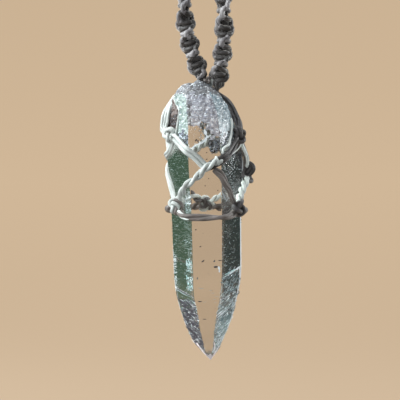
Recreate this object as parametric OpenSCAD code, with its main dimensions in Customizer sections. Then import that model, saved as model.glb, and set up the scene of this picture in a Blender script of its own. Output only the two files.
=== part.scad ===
// Macrame necklace: a quartz point, tip down, held in a knotted cord net on a braided neck strap.
// The origin is where the strap hangs, at the inside of its top bend. +Z is up, -Y is the front.

/* [Crystal] */
// Length of the quartz point, from its rough top to its tip
crystal_h = 55.6; // [48:0.2:62]
// Width of the quartz point below the net, across its side edges
crystal_w = 14; // [13:0.1:15]
// Depth of the quartz point, from its front face to its back face
crystal_d = 14.4; // [13:0.1:15.5]

/* [Neck strap] */
// Length of the whole neck strap, once round its loop
strap_length = 610; // [450:10:760]
// Width of the spiral braid across its two crests
braid_w = 4; // [3.6:0.1:4.4]
// Thickness of the spiral braid between its crests
braid_t = 2.7; // [2.4:0.1:3]
// Height of the braid that makes half a turn of the spiral
half_turn = 4.5; // [4:0.1:5]
// Radius of the bend at the top of the strap, to the middle of the braid
bend_r = 12; // [8:0.5:16]

/* [Net] */
// Thickness of a net cord of two twisted plies
cord_d = 1.15; // [0.9:0.05:1.3]
// Thickness of a bundle of cords between the top knot and the net
bundle_d = 1.4; // [1.2:0.1:1.6]
// Width of a collar or girdle knot
knot_w = 3; // [2.4:0.1:3.4]
// Width of a knot halfway down the net
middle_knot_w = 2.2; // [1.8:0.1:2.6]
// Width of the small knot over the stone
top_knot_w = 1.6; // [1.4:0.1:1.8]

/* [Hidden] */
// Clearance between two pieces
gap = 0.25;
// Sides of a cord, of the braid and of a knot
cord_sides = 8;
// Distance between two rings of a cord
cord_step = 1.1;
// Rings of the braid in each half turn
half_turn_rings = 4;
// Knots are flatter than they are wide
knot_flat = 0.62;

// The stone that the section table was measured on, width, depth and length
measured = [14, 14.4, 55.6];
wide = crystal_w / measured.x;
deep = crystal_d / measured.y;
tall = crystal_h / measured.z;

// Sections of the stone from its top down: distance below the top, left and right edge, left and
// right edge of the front face, depth in front and behind, and roundness from 0, flat faces, to 1
SECTIONS = [
    [0,    -2.8, -0.8, -2.4, -1.2, 0.9, 0.9, 1],
    [0.8,  -5.0,  0.4, -3.9, -0.8, 2.6, 2.6, 1],
    [2.0,  -6.2,  2.0, -4.4,  0.4, 4.2, 4.2, 0.9],
    [3.6,  -6.8,  3.3, -4.4,  1.0, 5.5, 5.5, 0.6],
    [5.0,  -7.1,  4.2, -4.2,  1.6, 6.2, 6.2, 0.4],
    [7.0,  -7.5,  5.0, -4.0,  2.1, 6.8, 6.8, 0.22],
    [10.0, -7.8,  6.0, -3.8,  2.4, 7.1, 7.1, 0.1],
    [14.0, -7.9,  7.0, -3.7,  2.6, 7.2, 7.2, 0],
    [18.0, -7.8,  7.3, -3.6,  2.8, 7.2, 7.2, 0],
    [26.8, -7.1,  6.9, -3.1,  2.9, 7.2, 7.2, 0],
    [37.2, -6.7,  6.9, -2.8,  2.9, 7.1, 7.2, 0],
    [41.2, -6.4,  6.5, -2.7,  2.7, 6.8, 7.1, 0],
    [43.8, -5.9,  5.9, -2.4,  2.4, 6.3, 6.9, 0],
    [46.5, -5.1,  5.3, -1.8,  1.9, 5.4, 6.5, 0],
    [49.3, -4.1,  4.3, -1.4,  1.5, 4.2, 5.8, 0],
    [52.0, -2.8,  3.1, -0.8,  1.3, 2.9, 4.5, 0],
    [53.9, -1.2,  2.2, -0.4,  1.1, 2.2, 3.1, 0],
    [55.6,  0.5,  0.9,  0.6,  0.8, 1.1, 1.3, 0],
];
// The back face is this much wider at each side than the front one, where the stone is full width
back_wider = 1.2;

// Lowest stretch of each strap, from its end at the stone up: across, and above the stone's top
LEFT_ROUTE = [[-1, 1], [-1.9, 2.8], [-3.4, 7.1], [-4.2, 11], [-4.5, 16], [-4.6, 21]];
RIGHT_ROUTE = [[2.3, -0.8], [2.4, 1], [3.1, 5.5], [3.5, 10.3], [3.3, 15.5], [3.5, 21]];
// Turning of the spiral above its end: distance along the strap, and half turns past a crest
LEFT_TURNS = [[0, -0.5], [2.4, 0], [7, 1], [11, 2], [18.4, 3]];
RIGHT_TURNS = [[0, -0.4], [2, 0], [6.4, 1], [11.3, 2], [18.6, 3]];
// Length over which a strap draws in to its end, and its scale there
draw_in = 3;
end_scale = 0.62;
// The long side of the strap starts level with the last point of the routes
visible_h = 21;
// The two halves of the strap meet with this much between them
strap_joint = 0.3;

// Middle of the knot over the stone, from the middle of the stone's top
top_knot_at = [0.1, -0.6, 0.2];

// Net knots: direction round the stone from the front to the right, distance below its top, width
KNOTS = [
    ["collar_knot_left",   -80, 10.5, knot_w * 0.9],
    ["collar_knot_right",   78, 11.1, knot_w],
    ["collar_knot_rear",   180, 11.4, knot_w * 0.9],
    ["middle_knot_front",    1, 17.6, middle_knot_w],
    ["middle_knot_right",   97, 18.2, knot_w * 1.1],
    ["middle_knot_left",  -116, 17.4, middle_knot_w],
    ["girdle_knot_left",   -58, 24.8, knot_w * 1.1],
    ["girdle_knot_right",   62, 25.3, knot_w * 1.05],
    ["girdle_knot_rear",   180, 24.6, knot_w],
];

// Net cords: the knots they run between, thickness, and how far the middle hangs lower
CORDS = [
    ["upper_leg_left_front",  "collar_knot_left",  "middle_knot_front", 1.25, -1.2],
    ["upper_leg_left_back",   "collar_knot_left",  "middle_knot_left",  1, 0],
    ["upper_leg_right_front", "collar_knot_right", "middle_knot_front", 1.3, 0.2],
    ["upper_leg_right_back",  "collar_knot_right", "middle_knot_right", 1, 0],
    ["upper_leg_rear_right",  "collar_knot_rear",  "middle_knot_right", 1, 0],
    ["upper_leg_rear_left",   "collar_knot_rear",  "middle_knot_left",  1, 0],
    ["lower_leg_front_left",  "middle_knot_front", "girdle_knot_left",  1, 0],
    ["lower_leg_front_right", "middle_knot_front", "girdle_knot_right", 1.1, -0.2],
    ["lower_leg_right_front", "middle_knot_right", "girdle_knot_right", 1, 0],
    ["lower_leg_right_rear",  "middle_knot_right", "girdle_knot_rear",  1, 0],
    ["lower_leg_left_front",  "middle_knot_left",  "girdle_knot_left",  1, 0],
    ["lower_leg_left_rear",   "middle_knot_left",  "girdle_knot_rear",  1, 0],
    ["girdle_front",          "girdle_knot_left",  "girdle_knot_right", 1.2, 2],
    ["girdle_right",          "girdle_knot_right", "girdle_knot_rear",  1.2, 1],
    ["girdle_left",           "girdle_knot_rear",  "girdle_knot_left",  1.2, 1],
];

// Crown bundles: direction round the stone, distance below its top, and height off the stone
CROWNS = [
    ["crown_left", [[118, 1, 0], [165, 1.3, 0], [210, 1.9, 0], [240, 3, 0],
                    [262, 5, 0.2], [274, 7.2, 0.2], [279, 8.7, 0.1]]],
    ["crown_right", [[110, 2.6, 0], [106, 3.6, 0], [98, 5.2, 0], [90, 7, 0], [82, 9, 0]]],
    ["crown_rear", [[150, 2.6, 0], [156, 3.6, 0], [165, 5, 0], [174, 6.8, 0],
                    [179, 8.6, 0], [180, 9.5, 0]]],
];

// Small maths shared by the pieces
function mix(a, b, t) = a + (b - a) * t;
function unit(v) = v / norm(v);
function sum(list, i = 0) = i < len(list) - 1 ? list[i] + sum(list, i + 1) : list[i];
function smooth(t) = t * t * (3 - 2 * t);
function last(list) = list[len(list) - 1];
// A smooth curve through the points, a list of samples for each span
function spline(p, samples) = [
    for (i = [0:len(p) - 2], k = [0:samples - (i < len(p) - 2 ? 1 : 0)])
        let (t = k / samples, a = p[max(i - 1, 0)], b = p[i], c = p[i + 1], d = p[min(i + 2, len(p) - 1)])
            0.5 * (2 * b + (c - a) * t + (2 * a - 5 * b + 4 * c - d) * t * t
                + (3 * b - a - 3 * c + d) * t * t * t)
];
// Distance along a list of points up to each of them
function running(p) = [for (i = 0, s = 0; i < len(p); s = s + (i < len(p) - 1 ? norm(p[i + 1] - p[i]) : 0),
    i = i + 1) s];
// The point at each given distance along a list of points
function along(p, distances) = let (s = running(p)) [
    for (d = distances) [for (axis = [0:len(p[0]) - 1]) lookup(d, [for (i = [0:len(p) - 1]) [s[i], p[i][axis]]])]
];
function spaced(p, step) = let (total = last(running(p)), n = ceil(total / step))
    along(p, [for (i = [0:n]) total * i / n]);
function tangent(p, i) = unit(p[min(i + 1, len(p) - 1)] - p[max(i - 1, 0)]);

// A closed skin over rings of equal count that follow one another, with a fan at each end
module skin(rings) {
    n = len(rings[0]);
    end = len(rings) - 1;
    points = concat([for (ring = rings) each ring], [sum(rings[0]) / n, sum(rings[end]) / n]);
    foot = n * (end + 1);
    faces = concat(
        [for (i = [0:end - 1], j = [0:n - 1]) [i * n + j, (i + 1) * n + j, (i + 1) * n + (j + 1) % n]],
        [for (i = [0:end - 1], j = [0:n - 1]) [i * n + j, (i + 1) * n + (j + 1) % n, i * n + (j + 1) % n]],
        [for (j = [0:n - 1]) [foot, j, (j + 1) % n]],
        [for (j = [0:n - 1]) [foot + 1, end * n + (j + 1) % n, end * n + j]]
    );
    polyhedron(points, faces);
}

// Places of the strap and the stone
bend_z = -(bend_r - braid_w / 2);
quarter_bend = PI / 2 * bend_r;
left_low = spline(LEFT_ROUTE, 8);
right_low = spline(RIGHT_ROUTE, 8);
low_length = (last(running(left_low)) + last(running(right_low))) / 2;
side_h = strap_length / 2 - quarter_bend - low_length;
stone_z = bend_z - side_h - visible_h;

// One corner or middle of a face of a section, on the flat faced outline and on the round one
function section_row(drop) = [
    for (column = [1:7]) lookup(drop, [for (row = SECTIONS) [row[0] * tall, row[column]]])
];
function section_middle(row) = (row[0] + row[1]) / 2 * wide;
// Outline of the stone at a distance below its top, starting in front and turning to the right
function outline(drop) =
    let (
        row = section_row(drop), x0 = section_middle(row), half_w = (row[1] - row[0]) / 2 * wide,
        front = row[4] * deep, back = row[5] * deep, y0 = (back - front) / 2, half_d = (front + back) / 2,
        wider = back_wider * (row[1] - row[0]) / measured.x,
        corners = [[row[3] * wide, -front], [row[1] * wide, y0], [(row[3] + wider) * wide, back],
            [(row[2] - wider) * wide, back], [row[0] * wide, y0], [row[2] * wide, -front]],
        flat = [for (i = [0:5]) each [corners[i], (corners[i] + corners[(i + 1) % 6]) / 2]]
    )
    [for (p = flat) let (a = atan2((p.x - x0) / half_w, -(p.y - y0) / half_d))
        mix(p, [x0 + half_w * sin(a), y0 - half_d * cos(a)], row[6])];
// The stone's skin in a direction from its middle
function skin_point(turn, drop) =
    let (
        ring = outline(drop), middle = sum(ring) / len(ring), ray = [sin(turn), -cos(turn)],
        reach = min([for (i = [0:len(ring) - 1])
            let (p = ring[i], edge = ring[(i + 1) % len(ring)] - p, out = [edge.y, -edge.x])
                if (out * ray > 0) (out * (p - middle)) / (out * ray)])
    )
    [middle.x + ray.x * reach, middle.y + ray.y * reach, stone_z - drop];
function outward(turn, drop) =
    let (
        across = skin_point(turn + 10, drop) - skin_point(turn - 10, drop),
        up = skin_point(turn, max(drop - 0.6, 0.1)) - skin_point(turn, drop + 0.6)
    )
    unit(cross(across, up));
// A point off the stone by a height
function lifted(turn, drop, height) = skin_point(turn, drop) + outward(turn, drop) * height;

// A round cord over the stone, through places given as direction, distance below the top and height
module stone_cord(places, thickness) {
    places_near = spaced_places(places);
    path = [for (q = places_near) lifted(q[0], q[1], q[2] + thickness / 2 + gap)];
    skin([for (i = [0:len(path) - 1])
        let (
            ahead = tangent(path, i), off = outward(places_near[i][0], places_near[i][1]),
            side = unit(cross(ahead, off)), up = cross(side, ahead)
        )
        [for (k = [0:cord_sides - 1]) let (a = 360 * (k + 0.5) / cord_sides)
            path[i] + (up * cos(a) + cross(ahead, up) * sin(a)) * thickness / 2]]);
}
// Places along a cord, about one step apart on the stone
function spaced_places(places) =
    let (
        fine = spline(places, 6), laid = [for (q = fine) skin_point(q[0], q[1])],
        s = running(laid), total = last(s), n = max(ceil(total / cord_step), 2)
    )
    [for (i = [0:n]) [for (column = [0:2])
        lookup(total * i / n, [for (k = [0:len(fine) - 1]) [s[k], fine[k][column]]])]];

// A knot: a flattened ball that lies on the stone, or stands free
module ball(width, height) {
    levels = [-75, -40, 0, 40, 75];
    skin([for (v = levels) [for (k = [0:cord_sides - 1]) let (a = 360 * k / cord_sides)
        [cos(a) * cos(v) * width / 2, sin(a) * cos(v) * width / 2, sin(v) * height / 2]]]);
}
module net_knot(row) {
    height = row[3] * knot_flat;
    out = outward(row[1], row[2]);
    color("lightgray")
        translate(lifted(row[1], row[2], height / 2 + gap))
        rotate([0, acos(out.z), atan2(out.y, out.x)])
        ball(row[3], height);
}
function knot_row(name) = KNOTS[search([name], KNOTS)[0]];
// A cord from knot to knot, cut back so that it stays clear of both
module net_cord(row) {
    start = knot_row(row[1]);
    end = knot_row(row[2]);
    turned = (end[1] - start[1] + 540) % 360 - 180;
    span = norm(skin_point(end[1], end[2]) - skin_point(start[1], start[2]));
    first = (start[3] / 2 + gap) / span;
    final = 1 - (end[3] / 2 + gap) / span;
    places = [for (k = [0:6]) let (t = mix(first, final, k / 6))
        [start[1] + turned * t, mix(start[2], end[2], t) + row[4] * sin(180 * t), 0]];
    color("silver") stone_cord(places, cord_d * row[3]);
}

// The middle of one half of the strap, from its end at the stone to the top of the loop
function strap_path(low, side) = concat(
    [for (q = low) [q.x, 0, stone_z + q.y]],
    [for (t = [0.01:0.01:1]) [mix(last(low).x, side * bend_r, smooth(t)), 0,
        mix(stone_z + visible_h, bend_z, t)]],
    [for (a = [3:3:90]) [side * max(bend_r * cos(a), strap_joint / 2), 0, bend_z + bend_r * sin(a)]]
);
module strap(low, side, turns) {
    path = spaced(strap_path(low, side), half_turn / half_turn_rings);
    step = norm(path[1] - path[0]);
    across = [0, 1, 0];
    color("gray") skin([for (i = [0:len(path) - 1])
        let (
            ahead = tangent(path, i), plane = cross(ahead, across),
            lobe = 90 + 180 * (lookup(i * step, turns) + max(i * step - last(turns)[0], 0) / half_turn),
            drawn = mix(end_scale, 1, smooth(min(i * step / draw_in, 1)))
        )
        [for (k = [0:cord_sides - 1]) let (
            a = 360 * k / cord_sides,
            r = ((braid_w + braid_t) + (braid_w - braid_t) * cos(2 * (a - lobe))) / 4 * drawn
        )
            path[i] + (across * cos(a) + plane * sin(a)) * r]]);
}

module crystal() {
    color([0.55, 0.68, 0.62, 0.6])
        skin([for (i = [len(SECTIONS) - 1:-1:0]) let (drop = SECTIONS[i][0] * tall)
            [for (p = outline(min(drop, crystal_h))) [p.x, p.y, stone_z - drop]]]);
}

module top_knot() {
    color("gainsboro") translate([top_knot_at.x, top_knot_at.y, stone_z + top_knot_at.z])
        ball(top_knot_w, top_knot_w * 0.8);
}

module strap_left() {
    strap(left_low, -1, LEFT_TURNS);
}

module strap_right() {
    strap(right_low, 1, RIGHT_TURNS);
}

module crown(row) {
    color("whitesmoke") stone_cord(row[1], bundle_d);
}

crystal();
top_knot();
strap_left();
strap_right();
for (row = CROWNS) crown(row);
for (row = KNOTS) net_knot(row);
for (row = CORDS) net_cord(row);
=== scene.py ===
"""A quartz point in a knotted cord net, hung from a braided neck strap, dressed around its frame."""

import math

import bpy
import numpy as np
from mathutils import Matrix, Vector, noise


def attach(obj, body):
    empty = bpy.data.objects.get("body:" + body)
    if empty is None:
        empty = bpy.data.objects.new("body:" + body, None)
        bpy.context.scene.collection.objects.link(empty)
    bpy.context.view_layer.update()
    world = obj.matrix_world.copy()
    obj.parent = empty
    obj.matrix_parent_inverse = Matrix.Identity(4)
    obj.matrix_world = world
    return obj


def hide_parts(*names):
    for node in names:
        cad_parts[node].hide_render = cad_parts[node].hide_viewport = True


bl_info = {
    "name": "Macrame Quartz Necklace",
    "version": (1, 0, 0),
    "blender": (4, 5, 0),
    "location": "3D View > Sidebar > Necklace",
    "description": "Builds a quartz point in a knotted cord net on a braided neck strap",
    "category": "Add Mesh",
}

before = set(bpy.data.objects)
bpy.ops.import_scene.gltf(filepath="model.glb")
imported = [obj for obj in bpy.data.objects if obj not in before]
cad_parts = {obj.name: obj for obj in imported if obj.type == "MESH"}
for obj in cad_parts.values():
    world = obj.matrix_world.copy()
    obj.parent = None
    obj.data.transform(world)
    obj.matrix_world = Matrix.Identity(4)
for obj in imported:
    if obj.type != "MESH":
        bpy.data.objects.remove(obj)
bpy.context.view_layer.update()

MM = 0.001
BODY = "root"

# The stone, in mm: drop below its top, left and right edge, left and right edge of the front
# face, depth in front and behind, and roundness
SECTIONS = np.array([
    [0.0, -2.8, -0.8, -2.4, -1.2, 0.9, 0.9, 1.0],
    [0.8, -5.0, 0.4, -3.9, -0.8, 2.6, 2.6, 1.0],
    [2.0, -6.2, 2.0, -4.4, 0.4, 4.2, 4.2, 0.9],
    [3.6, -6.8, 3.3, -4.4, 1.0, 5.5, 5.5, 0.6],
    [5.0, -7.1, 4.2, -4.2, 1.6, 6.2, 6.2, 0.4],
    [7.0, -7.5, 5.0, -4.0, 2.1, 6.8, 6.8, 0.22],
    [10.0, -7.8, 6.0, -3.8, 2.4, 7.1, 7.1, 0.1],
    [14.0, -7.9, 7.0, -3.7, 2.6, 7.2, 7.2, 0.0],
    [18.0, -7.8, 7.3, -3.6, 2.8, 7.2, 7.2, 0.0],
    [26.8, -7.1, 6.9, -3.1, 2.9, 7.2, 7.2, 0.0],
    [37.2, -6.7, 6.9, -2.8, 2.9, 7.1, 7.2, 0.0],
    [41.2, -6.4, 6.5, -2.7, 2.7, 6.8, 7.1, 0.0],
    [43.8, -5.9, 5.9, -2.4, 2.4, 6.3, 6.9, 0.0],
    [46.5, -5.1, 5.3, -1.8, 1.9, 5.4, 6.5, 0.0],
    [49.3, -4.1, 4.3, -1.4, 1.5, 4.2, 5.8, 0.0],
    [52.0, -2.8, 3.1, -0.8, 1.3, 2.9, 4.5, 0.0],
    [53.9, -1.2, 2.2, -0.4, 1.1, 2.2, 3.4, 0.0],
    [55.6, 0.5, 0.9, 0.6, 0.8, 1.2, 2.0, 0.0],
])
STONE_LENGTH = SECTIONS[-1, 0]
# The back face is wider than the front one, at each side of the full stone
BACK_WIDER = 1.2

# Lowest stretch of each strap: across, and above the stone's top
LEFT_ROUTE = [[-1, 1], [-1.9, 2.8], [-3.4, 7.1], [-4.2, 11], [-4.5, 16], [-4.6, 21]]
RIGHT_ROUTE = [[2.3, -0.8], [2.4, 1], [3.1, 5.5], [3.5, 10.3], [3.3, 15.5], [3.5, 21]]
# Turning of the spiral: distance along the strap, and half turns past a crest
LEFT_TURNS = np.array([[0, -0.5], [2.4, 0], [7, 1], [11, 2], [18.4, 3]])
RIGHT_TURNS = np.array([[0, -0.4], [2, 0], [6.4, 1], [11.3, 2], [18.6, 3]])
# The rest of the strap, in mm: a half turn of the braid, the radius of the top bend, the width of
# the braid, how far it is drawn in at its lower end and to what share of its width, the height of
# the lowest stretch, the joint between the halves, and the length of both
HALF_TURN = 4.5
BEND_R = 12.0
BRAID_W = 4.0
DRAW_IN = 2.0
END_SCALE = 0.84
VISIBLE_H = 21.0
STRAP_JOINT = 0.3
STRAP_LENGTH = 610.0
# Depth of a net knot for its width
KNOT_FLAT = 0.62

# Net knots: direction round the stone from the front to the right, drop below its top, width, lean
# in degrees, how much taller and how much deeper than common, and which of its two cords has the
# second finish, mostly the brightly lit one with painted light: -1 for the left one along the knot, 1 for
# the other
KNOTS = {
    "collar_knot_left": (-70, 10.9, 3.0, 20, 1.0, 1.2, 0),
    "collar_knot_right": (78, 11.1, 3.0, -30, 1.4, 1.2, 0),
    "collar_knot_rear": (164, 12.8, 2.9, 0, 1.0, 1.2, 1),
    "middle_knot_front": (1, 17.6, 2.2, 45, 1.0, 1.2, 0),
    "middle_knot_right": (97, 18.2, 3.3, 80, 1.5, 1.6, 0),
    "middle_knot_left": (-116, 17.4, 2.2, 10, 1.0, 1.2, 0),
    "girdle_knot_left": (-58, 24.8, 3.3, -15, 1.0, 1.2, -1),
    "girdle_knot_right": (62, 25.3, 3.15, 35, 1.0, 1.2, 0),
    "girdle_knot_rear": (180, 24.6, 3.0, 60, 1.0, 1.2, 1),
}
# Net cords: the knots they run between, thickness, how far the middle hangs lower, and make
CORDS = {
    "upper_leg_left_front": ("collar_knot_left", "middle_knot_front", 1.44, -1.2, "pair"),
    "upper_leg_left_back": ("collar_knot_left", "middle_knot_left", 1.15, 0, "parted"),
    "upper_leg_right_front": ("collar_knot_right", "middle_knot_front", 1.5, 0.2, "hooked"),
    "upper_leg_right_back": ("collar_knot_right", "middle_knot_right", 1.15, 0, "broad"),
    "upper_leg_rear_right": ("collar_knot_rear", "middle_knot_right", 1.15, 0, "plied"),
    "upper_leg_rear_left": ("collar_knot_rear", "middle_knot_left", 1.45, 0, "plied"),
    "lower_leg_front_left": ("middle_knot_front", "girdle_knot_left", 1.35, 0, "rope"),
    "lower_leg_front_right": ("middle_knot_front", "girdle_knot_right", 1.27, -0.2, "strip"),
    "lower_leg_right_front": ("middle_knot_right", "girdle_knot_right", 1.4, 0, "plied"),
    "lower_leg_right_rear": ("middle_knot_right", "girdle_knot_rear", 1.15, 0, "plied"),
    "lower_leg_left_front": ("middle_knot_left", "girdle_knot_left", 1.3, 0, "pair"),
    "lower_leg_left_rear": ("middle_knot_left", "girdle_knot_rear", 1.5, 0.6, "plied"),
    "girdle_front": ("girdle_knot_left", "girdle_knot_right", 1.38, 1.6, "wound"),
    "girdle_right": ("girdle_knot_right", "girdle_knot_rear", 1.38, 1, "plied"),
    "girdle_left": ("girdle_knot_rear", "girdle_knot_left", 1.38, 1, "plied"),
}
# Ways of the cords that don't run straight: direction round the stone, drop and height off it
ROUTES = {
    "upper_leg_rear_left": [(171, 11.9, 0), (180, 12.5, 0), (190, 13.3, 0), (203, 14.3, 0),
                            (225, 15.6, 0), (240, 16.9, 0)],
    "lower_leg_front_right": [(12, 17.9, 0.3), (18.8, 18.6, 0.1), (23.6, 19.6, 0), (27, 20.6, 0),
                              (36, 21.8, 0), (44, 23.2, 0), (52, 24.1, 0), (58, 24.9, 0)],
    "lower_leg_left_front": [(-112, 16.4, 0), (-99, 16.9, -0.2), (-92, 17.8, -0.3), (-87, 19.2, -0.3),
                             (-80, 21.0, -0.2), (-71, 22.9, 0), (-63, 24.4, 0)],
    "girdle_front": [(-50, 25.9, 0), (-40, 26.7, 0), (-24, 27.1, 0), (0, 27.2, 0), (22, 27.15, 0),
                     (40, 26.8, 0), (54, 26.2, 0)],
}
# Twisted makes: radius of a ply for the cord's thickness, mm to a whole turn, the phase in degrees
# where it is fixed, and how far the plies lie from the middle for their radius
TWISTED = {
    "plied": (0.29, 3.2, None, 0.98),
    "rope": (0.3, 4.8, 20, 0.98),
    "wound": (0.31, 17.0, 60, 0.75),
}
# Flat makes: cords, width at both ends, radius of each, depth, and which of them is painted paler, as
# brightly lit
FLAT = {
    "broad": (4, (1.9, 1.6), 0.34, 0.4, 3),
    "strip": (3, (1.6, 1.4), 0.3, 0.15, None),
    "hooked": (4, (1.9, 1.6), 0.32, 0.16, None),
}
# Crown bundles: direction round the stone, drop below its top, height off the stone
CROWNS = {
    "crown_left": [[84, 0.7, 0.2], [118, 1, 0], [165, 1.3, 0], [210, 2.1, -0.1], [238, 3.4, -0.2],
                   [257, 5.4, -0.1], [265, 7.2, -0.15], [268, 8.6, -0.2], [272, 9.7, 0.05],
                   [281, 10.5, 0.2]],
    "crown_right": [[150, 1.7, 0.4], [146, 2.4, 0], [138, 3.4, 0], [122, 4.6, 0], [108, 5.8, 0],
                    [97, 7.2, 0], [87, 9, 0], [79, 10.8, 0.2]],
    "crown_rear": [[170, 1.7, 0.4], [175, 2.6, 0], [178, 3.6, 0], [178, 5, 0], [178, 6.8, 0],
                   [177, 8.8, 0], [172, 10.8, 0], [168, 12, 0.2]],
}
BUNDLE_D = 1.4
# Crown bands: cords, width at both ends, radius of each and depth
CROWN_BANDS = {"crown_right": (6, (1.8, 2.3), 0.34, 0.5), "crown_rear": (5, (1.6, 2.0), 0.34, 0.5)}
TOP_KNOT_AT = (0.1, -0.6, 0.2)
TOP_KNOT_W = 1.6
TOP_KNOT_CORD = 0.28


# Small maths

def unit(v):
    """Vectors along the last axis, made one long."""
    v = np.asarray(v, float)
    return v / np.maximum(np.linalg.norm(v, axis=-1, keepdims=True), 1e-12)


def smooth(t):
    """An eased rise from 0 to 1."""
    t = np.clip(t, 0, 1)
    return t * t * (3 - 2 * t)


def spline(points, samples):
    """A smooth curve through the points, with that many samples for each span."""
    p = np.asarray(points, float)
    n = len(p)
    k = np.arange((n - 1) * samples + 1)
    i = np.minimum(k // samples, n - 2)
    t = ((k - i * samples) / samples)[:, None]
    a, b, c, d = p[np.maximum(i - 1, 0)], p[i], p[i + 1], p[np.minimum(i + 2, n - 1)]
    return 0.5 * (2 * b + (c - a) * t + (2 * a - 5 * b + 4 * c - d) * t**2
                  + (3 * b - a - 3 * c + d) * t**3)


def times(colour, factor):
    """A colour made lighter or darker."""
    return [channel * factor for channel in colour]


def running(p):
    """Distance along a line of points, up to each."""
    return np.concatenate([[0], np.cumsum(np.linalg.norm(np.diff(p, axis=0), axis=1))])


def spaced(p, step):
    """The same line with its points about one step apart."""
    s = running(p)
    at = np.linspace(0, s[-1], max(int(math.ceil(s[-1] / step)), 2) + 1)
    return np.stack([np.interp(at, s, p[:, k]) for k in range(p.shape[1])], axis=1)


def tangents(p):
    return unit(np.gradient(np.asarray(p, float), axis=0))


# Places of the strap and the stone, in mm

# The sections with smooth curves through them
CURVED = spline(SECTIONS, 8)

BEND_Z = -(BEND_R - BRAID_W / 2)
LEFT_LOW = spline(LEFT_ROUTE, 8)
RIGHT_LOW = spline(RIGHT_ROUTE, 8)
LOW_LENGTH = (running(LEFT_LOW)[-1] + running(RIGHT_LOW)[-1]) / 2
SIDE_H = STRAP_LENGTH / 2 - math.pi / 2 * BEND_R - LOW_LENGTH
STONE_Z = BEND_Z - SIDE_H - VISIBLE_H


def outline(drop, count=2, bevel=0.0):
    """The stone's outline at a drop, from the front face's right corner round: six faces, each
    with that many points. A bevel cuts each corner by that much, and has a point of its own."""
    row = [np.interp(drop, CURVED[:, 0], CURVED[:, k]) for k in range(1, 8)]
    row[6] = min(max(row[6], 0), 1)
    left, right, face_left, face_right, front, back, roundness = row
    x0, half_w = (left + right) / 2, (right - left) / 2
    y0, half_d = (back - front) / 2, (front + back) / 2
    wider = BACK_WIDER * (right - left) / 14
    corners = np.array([[face_right, -front], [right, y0], [face_right + wider, back],
                        [face_left - wider, back], [left, y0], [face_left, -front]])
    points = []
    for i in range(6):
        before, a, b = corners[i - 1], corners[i], corners[(i + 1) % 6]
        shares = np.arange(count) / count
        if bevel:
            cut, back = [min(bevel / max(np.linalg.norm(end - a), 1e-6), 0.3) for end in (b, before)]
            points.append((a + (b - a) * cut + (a + (before - a) * back)) / 4 + a / 2)
            shares = np.linspace(cut, 1 - cut, count)
        points += [a + (b - a) * t for t in shares]
    p = np.array(points)
    angle = np.arctan2((p[:, 0] - x0) / half_w, -(p[:, 1] - y0) / half_d)
    round_p = np.stack([x0 + half_w * np.sin(angle), y0 - half_d * np.cos(angle)], axis=1)
    return p + (round_p - p) * roundness


def skin_point(turn, drop):
    """The stone's skin in a direction from its middle."""
    ring = outline(drop)
    middle = ring.mean(axis=0)
    ray = np.array([math.sin(math.radians(turn)), -math.cos(math.radians(turn))])
    edge = np.roll(ring, -1, axis=0) - ring
    out = np.stack([edge[:, 1], -edge[:, 0]], axis=1)
    facing = out @ ray
    ahead = facing > 0
    reach = (((ring - middle) * out).sum(axis=1)[ahead] / facing[ahead]).min()
    return np.array([middle[0] + ray[0] * reach, middle[1] + ray[1] * reach, STONE_Z - drop])


def outward(turn, drop):
    """The direction straight off the skin."""
    across = skin_point(turn + 10, drop) - skin_point(turn - 10, drop)
    up = skin_point(turn, max(drop - 0.6, 0.1)) - skin_point(turn, drop + 0.6)
    return unit(np.cross(across, up))


def lifted(turn, drop, height):
    return skin_point(turn, drop) + outward(turn, drop) * height


def on_front(x, drop, height):
    """A place before the front face, or in the stone where the height is negative."""
    return np.array([x, -np.interp(drop, SECTIONS[:, 0], SECTIONS[:, 5]) - height, STONE_Z - drop])


def stone_route(places, centre_height, step=0.3):
    """A line over the stone and its outward directions, through places given as direction,
    drop and height off the stone."""
    fine = spline(places, 6)
    laid = np.array([skin_point(q[0], q[1]) for q in fine])
    s = running(laid)
    n = max(int(math.ceil(s[-1] / step)), 3)
    at = np.linspace(0, s[-1], n + 1)
    near = [np.interp(at, s, fine[:, k]) for k in range(3)]
    path = np.array([lifted(a, b, c + centre_height) for a, b, c in zip(*near)])
    off = np.array([outward(a, b) for a, b in zip(near[0], near[1])])
    # The skin's corners are eased, as a cord does
    for _ in range(3):
        path[1:-1] = (path[:-2] + 2 * path[1:-1] + path[2:]) / 4
        off[1:-1] = unit(off[:-2] + 2 * off[1:-1] + off[2:])
    return path, off


def strap_path(low, side):
    """The middle of one half of the strap, from its end at the stone to the top of the loop."""
    rise = np.linspace(0.01, 1, 100)
    run = np.stack([low[-1, 0] + (side * BEND_R - low[-1, 0]) * smooth(rise), rise * 0,
                    STONE_Z + VISIBLE_H + (BEND_Z - STONE_Z - VISIBLE_H) * rise], axis=1)
    bend = np.radians(np.arange(3, 91, 3))
    top = np.stack([side * np.maximum(BEND_R * np.cos(bend), STRAP_JOINT / 2), bend * 0,
                    BEND_Z + BEND_R * np.sin(bend)], axis=1)
    start = np.stack([low[:, 0], low[:, 0] * 0, STONE_Z + low[:, 1]], axis=1)
    return np.concatenate([start, run, top])


# Mesh making

# Share of its radius that a cord has at its very ends
DRAWN_END = 0.55


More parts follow.
